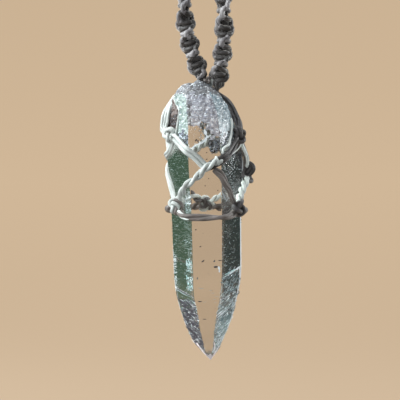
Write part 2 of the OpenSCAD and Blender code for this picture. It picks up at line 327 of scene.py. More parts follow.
class Shape:
    """Points, faces, places on the cord and finishes gathered for one piece, in mm."""

    def __init__(self):
        self.points, self.faces, self.uvs, self.materials = [], [], [], []
        self.count = 0

    def add(self, points, faces, uvs=None, material=0):
        """Adds a form, with one finish or a list of one for each face."""
        self.points.append(np.asarray(points, float))
        self.faces += [[int(v) + self.count for v in face] for face in faces]
        self.uvs += uvs or [[(0.0, 0.0)] * len(face) for face in faces]
        self.materials += np.broadcast_to(material, len(faces)).tolist()
        self.count += len(points)

    def build(self, name, materials, slot, node, smooth_faces=True):
        """Makes the piece, which takes the place of a solid of the source."""
        mesh = bpy.data.meshes.new(name)
        points = np.concatenate(self.points) * MM
        mesh.from_pydata(points.tolist(), [], self.faces)
        layer = mesh.uv_layers.new(name="cord")
        layer.data.foreach_set("uv", [c for face in self.uvs for corner in face for c in corner])
        for material in materials[:max(self.materials) + 1]:
            mesh.materials.append(material)
        mesh.polygons.foreach_set("material_index", self.materials)
        mesh.polygons.foreach_set("use_smooth", [smooth_faces] * len(self.faces))
        mesh.validate()
        mesh.update()
        piece = bpy.data.objects.new(name, mesh)
        bpy.context.scene.collection.objects.link(piece)
        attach(piece, BODY)
        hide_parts(node)


def ring_faces(rings, sides, closed):
    """Quads between rings of equal count that follow one another."""
    i = np.arange(rings if closed else rings - 1)[:, None]
    j = np.arange(sides)[None, :]
    a, b = (i * sides), ((i + 1) % rings) * sides
    k = (j + 1) % sides
    return np.stack([a + j, a + k, b + k, b + j], axis=-1).reshape(-1, 4)


def carried(path, closed=False):
    """Side directions carried along a line without twisting."""
    ahead = tangents(path)
    if closed:
        ahead = unit(np.roll(path, -1, axis=0) - np.roll(path, 1, axis=0))
    side = unit(np.cross(ahead[0], [0.31, 0.2, 0.93]))
    sides = [side]
    for i in range(1, len(path)):
        side = side - ahead[i] * (side @ ahead[i])
        side = side / np.linalg.norm(side)
        sides.append(side)
    sides = np.array(sides)
    if closed:
        last = sides[-1] - ahead[0] * (sides[-1] @ ahead[0])
        slip = math.atan2(np.cross(sides[0], last) @ ahead[0], sides[0] @ last)
        turn = -slip * np.arange(len(path)) / len(path)
        up = np.cross(ahead, sides)
        sides = sides * np.cos(turn)[:, None] + up * np.sin(turn)[:, None]
    return ahead, sides


def tube(shape, path, radius, sides=8, closed=False, material=0):
    """A round cord along a line, drawn in at its ends."""
    path = np.asarray(path, float)
    n = len(path)
    radius = np.broadcast_to(np.asarray(radius, float), n).copy()
    ahead, side = carried(path, closed)
    up = np.cross(ahead, side)
    if not closed:
        radius[0] *= DRAWN_END
        radius[-1] *= DRAWN_END
    angle = 2 * math.pi * np.arange(sides) / sides
    ring = (side[:, None] * np.cos(angle)[None, :, None]
            + up[:, None] * np.sin(angle)[None, :, None]) * radius[:, None, None]
    points = (path[:, None] + ring).reshape(-1, 3)
    faces = ring_faces(n, sides, closed).tolist()
    along = running(path)
    if closed:
        along = np.append(along, along[-1] + np.linalg.norm(path[0] - path[-1]))
    around = np.arange(sides) / sides
    uvs = [((a, p), (a, q), (b, q), (b, p)) for a, b in zip(along, along[1:])
           for p, q in zip(around, around + 1 / sides)]
    if not closed:
        faces += [list(range(sides))[::-1], list(range((n - 1) * sides, n * sides))]
        uvs += [[(along[0], 0.5)] * sides, [(along[-1], 0.5)] * sides]
    shape.add(points, faces, uvs, material)


def twist_around(path, off, reach, pitch, phase):
    """A line that winds round another at a distance, starting at a phase in degrees."""
    ahead = tangents(path)
    side = unit(np.cross(ahead, off))
    up = np.cross(side, ahead)
    angle = np.radians(phase) + 2 * math.pi * running(path) / pitch
    return path + (side * np.cos(angle)[:, None] + up * np.sin(angle)[:, None]) * reach


def plied(shape, path, off, radius, pitch, phase, spread, second=0):
    """A cord of two plies twisted together, the second one with its own finish."""
    for k in range(2):
        line = twist_around(path, off, radius * spread, pitch, phase + 180 * k)
        tube(shape, line, radius, 8, material=second * k)


def band(shape, path, off, seed, count, width, radius, depth, second=None):
    """Cords that lie side by side in two layers, as wide at the start and the end as given. They
    wander a little and draw together at both ends. One can have the second finish."""
    rng = np.random.default_rng(seed)
    side = unit(np.cross(tangents(path), off))
    s = running(path)
    t = s / s[-1]
    drawn = 0.55 + 0.45 * smooth(np.minimum(s, s[-1] - s) / 1.4)
    reach = (width[0] + (width[1] - width[0]) * t - 2 * radius) / 2 * drawn
    for k in range(count):
        place = 2 * k / (count - 1) - 1
        phase = rng.uniform(0, 6.28, 2)
        wander = 0.1 * np.sin(s * 0.55 + phase[0])
        lift = (depth if k % 2 else -0.4 * depth) + 0.07 * np.sin(s * 0.8 + phase[1])
        tube(shape, path + side * (reach * place + wander)[:, None] + off * lift[:, None], radius, 8,
             material=int(k == second))


# Materials

QUARTZ_IOR = 1.544
FIBRES_IN_PLY = 5
TO_MM = (1000, 1000, 1000)


class Nodes:
    """Short hand for a node tree."""

    def __init__(self, tree):
        self.tree = tree

    def fill(self, inputs, values):
        """Links sockets to a node's inputs, or sets the inputs' own values."""
        for key, value in values.items():
            if isinstance(value, bpy.types.NodeSocket):
                self.tree.links.new(value, inputs[key])
            else:
                inputs[key].default_value = value

    def add(self, kind, values=None, **settings):
        node = self.tree.nodes.new(kind)
        for key, value in settings.items():
            setattr(node, key, value)
        self.fill(node.inputs, values or {})
        return node

    def math(self, operation, a, b=0.0, c=0.0):
        return self.add("ShaderNodeMath", {0: a, 1: b, 2: c}, operation=operation).outputs[0]

    def scaled(self, place, factors):
        return self.add("ShaderNodeVectorMath", {0: place, 1: factors}, operation="MULTIPLY").outputs[0]

    def noise_at(self, place, scale, detail=3.0, roughness=0.5):
        return self.add("ShaderNodeTexNoise", {"Vector": place, "Scale": scale, "Detail": detail,
                                               "Roughness": roughness}).outputs[0]

    def grade(self, value, low, high, out_low=0.0, out_high=1.0):
        """The value carried from one range to another, and held within it."""
        limits = {"From Min": low, "From Max": high, "To Min": out_low, "To Max": out_high}
        return self.add("ShaderNodeMapRange", {"Value": value, **limits}, clamp=True).outputs[0]

    def mix(self, share, a, b):
        """Two colours mixed, each of them a socket or red, green and blue."""
        node = self.add("ShaderNodeMix", data_type="RGBA")
        named = {socket.identifier: socket for socket in node.inputs}
        a, b = [c if isinstance(c, bpy.types.NodeSocket) else (*c, 1) for c in (a, b)]
        self.fill(named, {"Factor_Float": share, "A_Color": a, "B_Color": b})
        return next(socket for socket in node.outputs if socket.identifier == "Result_Color")

    def bump(self, height, distance, strength):
        return self.add("ShaderNodeBump", {"Strength": strength, "Distance": distance,
                                           "Height": height}).outputs[0]

    def shared(self, name, values):
        """A node group that several materials use, made once, with this material's values."""
        if name not in bpy.data.node_groups:
            make_group(name, *NODE_GROUPS[name])
        return self.add("ShaderNodeGroup", values, node_tree=bpy.data.node_groups[name]).outputs


def make_group(name, wire, inputs):
    """A shader node group. Its inputs are named with their values, or with None for a place."""
    tree = bpy.data.node_groups.new(name, "ShaderNodeTree")
    for label, value in inputs.items():
        kind = "NodeSocketVector" if value is None else "NodeSocketFloat"
        socket = tree.interface.new_socket(name=label, in_out="INPUT", socket_type=kind)
        if value is not None:
            socket.default_value = value
    n = Nodes(tree)
    found = wire(n, n.add("NodeGroupInput").outputs)
    for label in found:
        tree.interface.new_socket(name=label, in_out="OUTPUT", socket_type="NodeSocketFloat")
    n.fill(n.add("NodeGroupOutput").inputs, found)


def twisted_fibres(n, given):
    """Fibres, grooves with a mask for their painted shade, and clouds of wax on a cord's own places: mm
    along it and once round it.
    """
    along, around = n.add("ShaderNodeSeparateXYZ", {0: given["Place"]}).outputs[:2]
    turn = n.math("MULTIPLY_ADD", along, given["Slant"], n.math("MULTIPLY", around, given["Plies"]))
    ply = n.math("ABSOLUTE", n.math("SINE", n.math("MULTIPLY", turn, math.pi)))
    fibre = n.math("SINE", n.math("MULTIPLY_ADD", turn, 2 * math.pi * FIBRES_IN_PLY,
                                  n.math("MULTIPLY", along, 3.0)))
    position = n.scaled(given["Position"], TO_MM)
    rough = n.math("MULTIPLY", n.math("SUBTRACT", n.noise_at(position, 5.0), 0.5), given["Fuzz"])
    shaped = n.math("MULTIPLY_ADD", n.math("POWER", ply, 0.6), 0.75, n.math("MULTIPLY", fibre, 0.1))
    return {"Height": n.math("ADD", shaped, rough), "Groove Shade": n.grade(ply, 0.0, 0.4, 1.0, 0.0),
            "Cloud": n.noise_at(position, 0.35, 4.0)}


def broken_grain(n, given):
    """Fine broken grains, larger patches and the rough height of crushed quartz."""
    position = n.scaled(given["Position"], TO_MM)
    grain = n.noise_at(position, given["Scale"], 4.0, 0.7)
    cells = n.add("ShaderNodeTexVoronoi", {"Vector": position, "Scale": given["Scale"]}).outputs[0]
    return {"Grain": n.grade(grain, 0.38, 0.62), "Patch": n.grade(n.noise_at(position, 0.45), 0.4, 0.6),
            "Height": n.math("ADD", n.math("MULTIPLY", cells, 0.5), n.math("MULTIPLY", grain, 0.5))}


NODE_GROUPS = {
    "Twisted Fibres": (twisted_fibres, {"Place": None, "Position": None, "Plies": 2.0, "Slant": 0.3,
                                        "Fuzz": 0.3}),
    "Broken Grain": (broken_grain, {"Position": None, "Scale": 2.5}),
}


def new_material(name):
    """A material, its nodes and its shader."""
    material = bpy.data.materials.new(name)
    material.use_nodes = True
    return material, Nodes(material.node_tree), material.node_tree.nodes["Principled BSDF"]


def plain_material(name, colour, roughness):
    material, n, shader = new_material(name)
    n.fill(shader.inputs, {"Base Color": (*colour, 1), "Roughness": roughness})
    return material


def cord_material(name, light, dark, plies, slant, depth, groove, sheen=0.15, roughness=0.5):
    """Waxed cord, light and dark in clouds, and darkest in the grooves between its plies, where shade is
    painted in.
    """
    material, n, shader = new_material(name)
    fibres = n.shared("Twisted Fibres", {
        "Place": n.add("ShaderNodeUVMap", uv_map="cord").outputs[0],
        "Position": n.add("ShaderNodeTexCoord").outputs["Object"], "Plies": plies, "Slant": slant})
    clouded = n.mix(n.grade(fibres["Cloud"], 0.35, 0.7), light, dark)
    # Painted shade: the grooves between the plies darken towards this colour
    deep = times(dark, 0.45)
    n.fill(shader.inputs, {
        "Base Color": n.mix(n.math("MULTIPLY", fibres["Groove Shade"], groove), clouded, deep),
        "Roughness": n.grade(fibres["Cloud"], 0.3, 0.7, roughness - 0.1, roughness + 0.1),
        "Normal": n.bump(fibres["Height"], depth, 0.8),
        "Sheen Weight": sheen, "Sheen Roughness": 0.35, "Sheen Tint": (1.0, 0.96, 0.88, 1)})
    return material


def clear_quartz(tint):
    """Clear quartz that lamps shine through. Beside its front and back faces it has fine level
    growth lines, small pits and worn streaks."""
    material, n, shader = new_material("Clear quartz")
    place = n.add("ShaderNodeTexCoord").outputs
    position = n.scaled(place["Object"], TO_MM)
    lines = n.math("MULTIPLY", n.noise_at(n.scaled(position, (0.2, 0.2, 1.7)), 2.6, 3.0, 0.6), 0.6)
    pits = n.math("MULTIPLY", n.noise_at(position, 3.0, 3.0, 0.6), 0.4)
    clouds = n.math("MULTIPLY", n.noise_at(position, 0.3), 0.4)
    streaks = n.grade(n.math("ADD", lines, clouds), 0.51, 0.62)
    facing = n.math("ABSOLUTE", n.add("ShaderNodeSeparateXYZ", {0: place["Normal"]}).outputs[1])
    beside = n.grade(facing, 0.8, 0.95, 1.0, 0.12)
    n.fill(shader.inputs, {
        "Base Color": (*tint, 1), "Transmission Weight": 1.0, "IOR": QUARTZ_IOR,
        "Roughness": n.grade(n.math("MULTIPLY", streaks, beside), 0.0, 1.0, 0.0, 0.22),
        "Normal": n.bump(n.math("ADD", lines, pits), 0.00007, beside)})
    shadow = n.add("ShaderNodeLightPath").outputs["Is Shadow Ray"]
    through = n.add("ShaderNodeBsdfTransparent", {"Color": (0.93, 0.95, 0.94, 1)}).outputs[0]
    mixed = n.add("ShaderNodeMixShader", {0: shadow, 1: shader.outputs[0], 2: through}).outputs[0]
    n.fill(material.node_tree.nodes["Material Output"].inputs, {"Surface": mixed})
    return material


def druse_material(name, light, dark, scale):
    """Crushed, frosted quartz, light and dark in fine grains."""
    material, n, shader = new_material(name)
    position = n.add("ShaderNodeTexCoord").outputs["Object"]
    grains = n.shared("Broken Grain", {"Position": position, "Scale": scale})
    middle = [(a + b) / 2 for a, b in zip(light, dark)]
    coarse = n.mix(grains["Patch"], middle, light)
    n.fill(shader.inputs, {
        "Base Color": n.mix(grains["Grain"], dark, coarse),
        "Roughness": n.grade(grains["Grain"], 0.0, 1.0, 0.5, 0.3),
        "Normal": n.bump(grains["Height"], 0.0001, 0.5),
        "Transmission Weight": 0.5, "IOR": QUARTZ_IOR})
    return material


# The quartz point

FACES = ["right", "right_back", "back", "left_back", "left", "front"]
# Points across each face, and with the one on the bevel before it
FACE_POINTS = 22
COLUMNS = FACE_POINTS + 1
# Drops of the rings that the skin is made of: from, to and step. One more is at the tip
RING_DROPS = [(0, 13, 0.17), (13, 52, 0.24), (52, STONE_LENGTH - 0.1, 0.15)]
# Rings that draw in over the top in a low dome: share of its width, and rise in mm
TOP_RINGS = [(0.2, 0.26), (0.5, 0.22), (0.8, 0.12)]
# Ledges on the faces: face, drop at its two side edges, how far in, and over how many mm the
# step fades below
LEDGES = [
    ("left", 41.2, 42.9, 0.34, 2.5),
    ("left", 43.4, 43.9, 0.14, 1.5),
    ("right", 39.2, 37.1, 0.32, 2.2),
    ("right", 46.6, 44.6, 0.34, 2.0),
    ("right", 42.2, 41.0, 0.12, 1.5),
    ("right", 53.6, 50.4, 0.14, 1.2),
    ("left", 35.2, 36.4, 0.12, 2.0),
]
# Height of a ledge's step, and the depth from which its step is white
LEDGE_STEP = 0.12
WHITE_LEDGE = 0.2
# Finishes of the stone: clear quartz, these plain ones by colour and roughness, and the druses
PLAIN_FINISHES = [
    ("White fracture", (0.8, 0.87, 0.9), 0.35),
    ("Healed fracture", (0.29, 0.33, 0.4), 0.3),
    ("Dark mineral", (0.022, 0.016, 0.016), 0.5),
    ("Teal glint", (0.42, 0.68, 0.68), 0.3),
    ("Smoky fracture", (0.11, 0.12, 0.14), 0.3),
    ("Pale etching", (0.36, 0.45, 0.46), 0.4),
    # Partly painted reflection: the dark green and plum of the surroundings that the side faces show
    ("Etching in painted green reflection", (0.11, 0.155, 0.13), 0.4),
    ("Fracture in painted plum reflection", (0.028, 0.03, 0.05), 0.5),
    ("Brown fracture", (0.13, 0.098, 0.088), 0.4),
    ("Tip frost", (0.95, 0.87, 0.88), 0.4),
    # White along the edges: partly wear, partly a painted highlight of the light along them
    ("Worn highlit edge", (0.88, 0.91, 0.92), 0.5),
    # Partly painted reflection: the dark slate of the surroundings that the right face shows
    ("Fracture in painted slate reflection", (0.075, 0.13, 0.15), 0.4),
]
# Druses: light colour, dark colour and grains in a mm. None is the colour set for the druse
DRUSES = [
    ("Green druse", (0.6, 0.76, 0.7), (0.33, 0.46, 0.43), 2.5),
    ("Lavender druse", None, (0.31, 0.33, 0.41), 2.5),
    ("Cyan druse", (0.58, 0.79, 0.89), (0.2, 0.31, 0.38), 2.5),
    ("Grey druse", (0.4, 0.42, 0.45), (0.16, 0.17, 0.19), 3.5),
]
(CLEAR, WHITE, DULL, SPECK, TEAL, SMOKY, PALE_ETCH, SOFT, PLUM, BROWN, TIP, EDGE, SLATE,
 GREEN, LAVENDER, CYAN, GREY) = range(1 + len(PLAIN_FINISHES) + len(DRUSES))
# The broken top by face: the drop that its druse reaches down to, and its finish
TOP_DROP = 14
TOP_REACH = {"left": 10.4, "right": 10.6, "front": 11.4}
TOP_REACH_LEFT = 9.2
TOP_REACH_BEHIND = 8.4
TOP_FINISH = {"left": GREEN, "right": CYAN}
# How far the painted dark reflection on the left face reaches across it, by drop
DARK_REFLECTION_PATCH = np.array([[3.2, 0.02], [3.6, 0.12], [5.9, 0.56], [8.0, 0.5], [10.6, 0.46]])
# Edges painted white, partly as worn edges and partly as painted highlights, from the front face's
# right one round: columns before the edge that are white too, their share, and the drop from which
# they are white
WORN_HIGHLIT_EDGES = [(0, 0.1, 12), (2, 0.95, 12), (0, 0.3, 12), (0, 0.3, 12), (0, 0.6, 33), (0, 0.1, 12)]
# Drops from which the two edges at the sides are white throughout, and the tip is frosted
SIDE_EDGES = (1, 4)
SIDE_EDGES_DROP = 52.5
TIP_DROP = 54.6


def chance(*place):
    """Smooth noise at a place, mostly between 0 and 1."""
    return noise.noise(Vector(place)) * 0.5 + 0.5


def pick(value, *limits):
    """The finish beside the first limit that the value passes, or else the last finish."""
    *most, last = limits
    return next((finish for limit, finish in most if value > limit), last)


def stone_rings(drops):
    """The stone's outline at each drop, its corners chipped by a bevel that changes."""
    rings = []
    for drop in drops:
        ring = outline(drop, FACE_POINTS, 0.1 + 0.14 * chance(3.1, 7.7, drop * 0.9))
        rings.append(np.column_stack([ring, np.full(len(ring), STONE_Z - drop)]))
    return np.array(rings)


def cut_ledges(rings, drops):
    """Lowers the faces a little below slanted lines. Gives row and column of the steps' faces."""
    steps = []
    for face, start, end, depth, fade in LEDGES:
        first = FACES.index(face) * COLUMNS
        columns = np.arange(first + 1, first + COLUMNS)
        t = np.linspace(0, 1, len(columns))
        below = drops[:, None] - (start + (end - start) * t)
        if depth > WHITE_LEDGE:
            steps += [(row, columns[k]) for row, k in zip(*np.nonzero(abs(below) < LEDGE_STEP))]
        amount = depth * smooth(below / LEDGE_STEP) * np.exp(-np.maximum(below, 0) / fade)
        amount *= np.clip(np.minimum(t, 1 - t) * 14, 0, 1)
        edge = unit(rings[:, columns[-1]] - rings[:, columns[0]])
        inward = np.stack([-edge[:, 1], edge[:, 0], edge[:, 0] * 0], axis=1)
        rings[:, columns] += inward[:, None] * amount[..., None]
    return steps


def broken_top(rings, drops):
    """The rings with a rough top that has a notch between its two humps and is closed."""
    middle = rings.mean(axis=1)
    roughness = 1 - smooth((drops - 5) / 8)
    for i in np.nonzero(roughness > 0)[0]:
        for j in range(rings.shape[1]):
            p = Vector(rings[i, j])
            near = noise.voronoi(p * 0.55)[0]
            coarse = 0.6 - min((near[1] - near[0]) * 1.6, 1)
            fine = noise.fractal(p * 2.3, 0.8, 2.1, 3)
            depth = roughness[i] * (0.30 * coarse + 0.12 * fine)
            rings[i, j] += unit(middle[i] - rings[i, j]) * depth
    notch = np.exp(-((rings[..., 0] + 2.9) / 0.4) ** 2) * (1 - smooth(drops / 2.2))[:, None]
    rings[..., 2] -= 0.5 * notch
    dome = [middle[0] + (rings[0] - middle[0]) * share + [0, 0, rise] for share, rise in TOP_RINGS]
    return np.concatenate([dome, rings])


def top_finish(p, drop, face, along):
    """The finish of a small face of the broken top, which thins out downwards, or None."""
    patch = noise.fractal(Vector(p * 0.9), 0.9, 2.0, 3)
    grain = noise.fractal(Vector(p * 3.4), 0.7, 2.1, 3)
    # Painted reflection: dark brown and smoky grains where the clear face shows dark surroundings
    if face == "left" and DARK_REFLECTION_PATCH[0, 0] < drop < DARK_REFLECTION_PATCH[-1, 0] \
            and along < np.interp(drop, *DARK_REFLECTION_PATCH.T) + 0.08 * patch:
        if drop < 6.2 - 2 * patch:
            return pick(grain, (0.8, WHITE), BROWN)
        return pick(grain, (0.8, WHITE), (0.3, BROWN), (-0.4, SPECK), SMOKY)
    reach = TOP_REACH.get(face, TOP_REACH_BEHIND)
    if face == "front" and p[0] < 0.5:
        reach = TOP_REACH_LEFT
    if patch * 1.6 + (reach - drop) * 0.9 > 0:
        grey = drop < 3 + patch or (face == "front" and along < 0.1 and drop > 4)
        finish = GREY if grey else TOP_FINISH.get(face, LAVENDER)
        return pick(grain, (0.5, WHITE), (-0.62, finish), DULL)
    if face in TOP_FINISH and patch * 1.6 + (reach + 2.4 - drop) * 0.9 > 0:
        return pick(grain, (0.5, WHITE), (0.1, DULL), (-0.3, SMOKY), CLEAR)
    return None


def stone_finishes(centres, width, steps):
    """The finish of each small face, by the middles of all of them and how many are in a ring."""
    finishes = np.full(len(centres), CLEAR)
    columns = np.arange(len(centres)) % width
    drops = STONE_Z - centres[:, 2]
    for row, column in steps:
        if noise.noise(Vector((row * 0.31, column * 0.4, 2.0))) > -0.15:
            finishes[(row + len(TOP_RINGS)) * width + column] = WHITE
    for corner, (before, share, top) in enumerate(WORN_HIGHLIT_EDGES):
        past = (columns - corner * COLUMNS + width // 2) % width - width // 2
        for k in np.nonzero((past <= 0) & (past >= -before) & (drops > top))[0]:
            throughout = drops[k] > SIDE_EDGES_DROP and corner in SIDE_EDGES
            if throughout or chance(corner * 5.1, columns[k] * 0.35, drops[k] * 1.1) < share:
                finishes[k] = EDGE
    for k, (p, drop) in enumerate(zip(centres, drops)):
        if drop > TIP_DROP + 0.5 * noise.noise(Vector(p * 2)):
            finishes[k] = TIP
        if drop <= TOP_DROP:
            along = columns[k] % COLUMNS / FACE_POINTS
            found = top_finish(p, drop, FACES[columns[k] // COLUMNS], along)
            if found is not None:
                finishes[k] = found
    return finishes


def stone_shape():
    """The stone's skin."""
    drops = np.concatenate([np.arange(*row) for row in RING_DROPS] + [[STONE_LENGTH]])
    rings = stone_rings(drops)
    steps = cut_ledges(rings, drops)
    rings = broken_top(rings, drops)
    count, width = rings.shape[:2]
    points = rings.reshape(-1, 3)
    faces = ring_faces(count, width, False)[:, ::-1]
    finishes = stone_finishes(points[faces].mean(axis=1), width, steps)
    first, last = list(range(width)), list(range((count - 1) * width, count * width))
    shape = Shape()
    shape.add(points, faces.tolist() + [first, last[::-1]], material=[*finishes, GREY, CLEAR])
    return shape


# Healed fractures inside the broken top, and in the patches below it: count, finishes in turn,
# middle by across, drop and depth, and spread in mm
VEILS = 750
MOTTLED = [
    (175, (WHITE, PALE_ETCH, DULL, SMOKY, DULL), (1.5, 12.8, 3.5), (0.6, 0.65, 0.75)),
    (25, (WHITE, BROWN), (-1.4, 11.3, 3.0), (0.5, 0.5, 0.6)),
]
FLAKE_CORNERS = 5
VEIL_SEED = 11
ETCH_SEED = 23


def add_flake(shape, rim, peak, material):
    """A closed flake: a fan from its rim up to a point, and the flat face below."""
    n = len(rim)
    faces = [[k, (k + 1) % n, n] for k in range(n)] + [list(range(n))[::-1]]
    shape.add(np.vstack([rim, peak]), faces, material=material)


def add_veil(shape, rng, at, number, finish):
    """A healed fracture that lies at random. Every fifth one is small."""
    out = unit(rng.normal(size=3))
    a = unit(np.cross(out, rng.normal(size=3)))
    b = np.cross(out, a)
    size = 0.1 + (0.2 if number % 5 == 0 else 0.4) * rng.random() ** 2
    angle = (np.arange(FLAKE_CORNERS) + rng.random(FLAKE_CORNERS) * 0.6) * 2 * math.pi / FLAKE_CORNERS
    r = size * (0.6 + 0.5 * rng.random(FLAKE_CORNERS))
    rim = at + a * (np.cos(angle) * r)[:, None] + b * (np.sin(angle) * r * 0.7)[:, None]
    add_flake(shape, rim, at + out * size * 0.15, finish)


def add_veils(shape):
    """Healed fractures inside the stone, one in four of those in the top bright."""
    rng = np.random.default_rng(VEIL_SEED)
    for i in range(VEILS):
        drop = 1.2 + 7.4 * rng.random() ** 0.85
        ring = outline(drop)
        middle = ring.mean(axis=0)
        k = rng.integers(len(ring))
        t = rng.random()
        reach = math.sqrt(rng.random()) * 0.88
        rim = ring[k] * (1 - t) + ring[(k + 1) % len(ring)] * t
        at = np.array([*(middle + (rim - middle) * reach), STONE_Z - drop])
        add_veil(shape, rng, at, i, DULL if i % 4 else WHITE)
    for count, finishes, (x, drop, y), spread in MOTTLED:
        for i in range(count):
            at = np.array([x, y, STONE_Z - drop]) + rng.normal(0, spread, 3)
            add_veil(shape, rng, at, i, finishes[i % len(finishes)])


# Patches of etch marks on a face, the dark green, slate and plum ones partly painted reflection:
# face, share across from and to, drop from and to, count, length from and to in mm, share of them
# that lie along the slant, the slant in radians, thickness in mm, and the two finishes with the
# share of the first
ETCHED = [
    ("left", 0.0, 1.0, 12.6, 34.0, 430, 0.3, 1.3, 0.97, 0, 0.09, SOFT, PALE_ETCH, 0.9),
    ("left", 0.62, 1.0, 27.4, 35.4, 85, 0.5, 1.5, 1.0, 0, 0.11, PALE_ETCH, SOFT, 0.15),
    ("left", 0.0, 1.0, 34.0, 42.0, 90, 0.3, 1.2, 0.95, 0, 0.09, SOFT, PALE_ETCH, 0.8),
    ("left", 0.03, 0.16, 34.4, 41.6, 80, 0.3, 0.7, 0.97, 0, 0.07, WHITE, PALE_ETCH, 0.7),
    ("left", 0.08, 0.97, 43.6, 54.6, 380, 0.6, 1.5, 0.9, -0.3, 0.38, PLUM, SMOKY, 0.75),
    ("left", 0.72, 1.0, 22.2, 24.6, 50, 0.2, 0.8, 0.5, 0, 0.22, WHITE, PALE_ETCH, 0.6),
    ("left", 0.72, 1.0, 24.6, 26.4, 60, 0.2, 0.8, 0.8, 0, 0.2, PALE_ETCH, SOFT, 0.5),
    ("left", 0.8, 1.0, 43.8, 48.0, 40, 0.2, 0.7, 0.3, -0.3, 0.16, WHITE, TEAL, 0.7),
    ("left", 0.0, 1.0, 43.0, 54.2, 150, 0.4, 2.0, 0.9, -0.3, 0.08, WHITE, PALE_ETCH, 0.4),
    ("right", 0.0, 1.0, 13.4, 37.0, 300, 0.2, 1.2, 0.5, 0, 0.09, PALE_ETCH, SOFT, 0.5),
    ("right", 0.0, 0.6, 13.4, 22.0, 80, 0.2, 0.9, 0.3, 0, 0.09, WHITE, PALE_ETCH, 0.25),
    ("right", 0.0, 1.0, 37.0, 42.0, 60, 0.3, 1.6, 0.8, 0.5, 0.07, WHITE, PALE_ETCH, 0.2),
    ("right", 0.0, 1.0, 38.0, 54.2, 230, 0.4, 2.0, 0.8, 0.5, 0.16, SLATE, PALE_ETCH, 0.85),
    ("right", 0.0, 1.0, 42.0, 54.2, 240, 0.3, 1.8, 0.8, 0.5, 0.08, WHITE, PALE_ETCH, 0.5),
    ("left", 0.04, 0.46, 5.6, 9.8, 80, 0.3, 1.1, 0.4, 0.8, 0.12, BROWN, SPECK, 0.35),
    ("front", 0.1, 0.9, 40.0, 44.5, 7, 0.4, 1.6, 1.0, 0, 0.06, PALE_ETCH, SOFT, 1.0),
    ("right_back", 0.0, 1.0, 14.0, 54.0, 120, 0.2, 1.3, 0.8, 0, 0.08, PALE_ETCH, WHITE, 0.6),
    ("left_back", 0.0, 1.0, 14.0, 54.0, 120, 0.2, 1.3, 0.8, 0, 0.08, PALE_ETCH, WHITE, 0.6),
]
# Marks that stand out, some of them painted highlights: finish, thickness in mm, and places by how far
# across and how far down
MARKS = [
    (WHITE, 0.3, [(-3.5, 1.3), (-3.1, 1.0), (-2.8, 0.6)]),
    (WHITE, 0.3, [(-2.9, 1.6), (-2.6, 1.2), (-2.4, 0.9)]),
    (WHITE, 0.4, [(-6.6, 3.0), (-5.6, 2.9), (-4.3, 2.9)]),
    # Painted highlights: white lines on the front face that brighten the rear left upper leg seen through
    # the stone
    (WHITE, 0.45, [(-0.5, 9.9), (-0.35, 10.6), (-0.05, 11.4)]),
    (WHITE, 0.4, [(-0.1, 11.5), (0.3, 11.35), (0.75, 11.1)]),
    (WHITE, 0.36, [(0.0, 11.3), (-0.5, 12.2), (-1.3, 12.8)]),
    (WHITE, 0.26, [(-1.1, 12.6), (-2.0, 13.0), (-3.0, 13.6)]),
    (WHITE, 0.34, [(2.8, 22.0), (3.2, 22.8), (3.8, 24.0)]),
    (WHITE, 0.3, [(3.7, 24.1), (4.0, 23.6), (4.4, 23.2)]),
    (PALE_ETCH, 0.22, [(3.05, 39.0), (3.9, 38.55), (4.8, 38.1)]),
    (WHITE, 0.3, [(4.2, 38.4), (5.5, 37.7), (6.7, 36.95)]),
    (TEAL, 0.24, [(3.5, 38.4), (4.0, 38.2), (4.5, 38.0)]),
    (TEAL, 0.28, [(4.7, 37.85), (5.1, 37.7), (5.5, 37.5)]),
    (WHITE, 0.3, [(1.75, 46.6), (2.4, 46.05), (3.3, 45.5)]),
    (WHITE, 0.3, [(2.0, 46.9), (2.9, 46.2), (3.8, 45.6)]),
    (PALE_ETCH, 0.2, [(3.0, 46.0), (3.6, 45.5), (4.3, 45.0)]),
    (WHITE, 0.2, [(2.0, 53.0), (2.7, 51.8), (3.4, 50.6)]),
    # A painted glint beside the large speck
    (WHITE, 0.34, [(2.2, 36.7), (2.36, 37.3), (2.4, 37.9)]),
    (PALE_ETCH, 0.14, [(-6.1, 41.6), (-4.6, 42.4), (-3.0, 42.9)]),
    (SMOKY, 0.2, [(-6.2, 41.3), (-4.6, 42.1), (-3.0, 42.6)]),
    (TIP, 1.3, [(-2.1, 52.3), (-1.0, 53.7), (0.1, 54.9)]),
    (TIP, 0.3, [(-1.5, 52.9), (-1.0, 53.6), (-0.8, 54.4)]),
    (TIP, 0.4, [(1.4, 52.0), (1.5, 53.0), (1.3, 54.0)]),
    (TIP, 0.7, [(2.4, 52.9), (1.75, 54.1), (0.9, 55.2)]),
]
# Patches of small glints beside the front face's left edge: drop from and to
GLINTS = [(35.3, 38.0), (38.7, 41.6)]
GLINTS_IN_PATCH = 150
GLINT_FINISHES = (TEAL, TEAL, PALE_ETCH, WHITE, SOFT)


def face_place(face, across, drop):
    """A place on one of the stone's faces, with its directions across, up and outward."""
    i = FACES.index(face)
    ring = outline(drop)[::2]
    a, b = ring[i], ring[(i + 1) % 6]
    upper = outline(drop - 0.5)[::2]
    at = np.array([*(a + (b - a) * across), STONE_Z - drop])
    above = np.array([*(upper[i] + (upper[(i + 1) % 6] - upper[i]) * across), STONE_Z - drop + 0.5])
    side = unit(np.array([*(b - a), 0.0]))
    up = unit(above - at)
    out = unit(np.cross(side, up))
    return at, side, up, out


def front_place(x, drop):
    """A place on the front half of the stone by how far across it is."""
    corners = outline(drop)[::2]
    for i in (4, 5, 0):
        a, b = corners[i], corners[(i + 1) % 6]
        if x <= b[0] or i == 0:
            break
    return face_place(FACES[i], min(max((x - a[0]) / (b[0] - a[0]), 0.01), 0.99), drop)


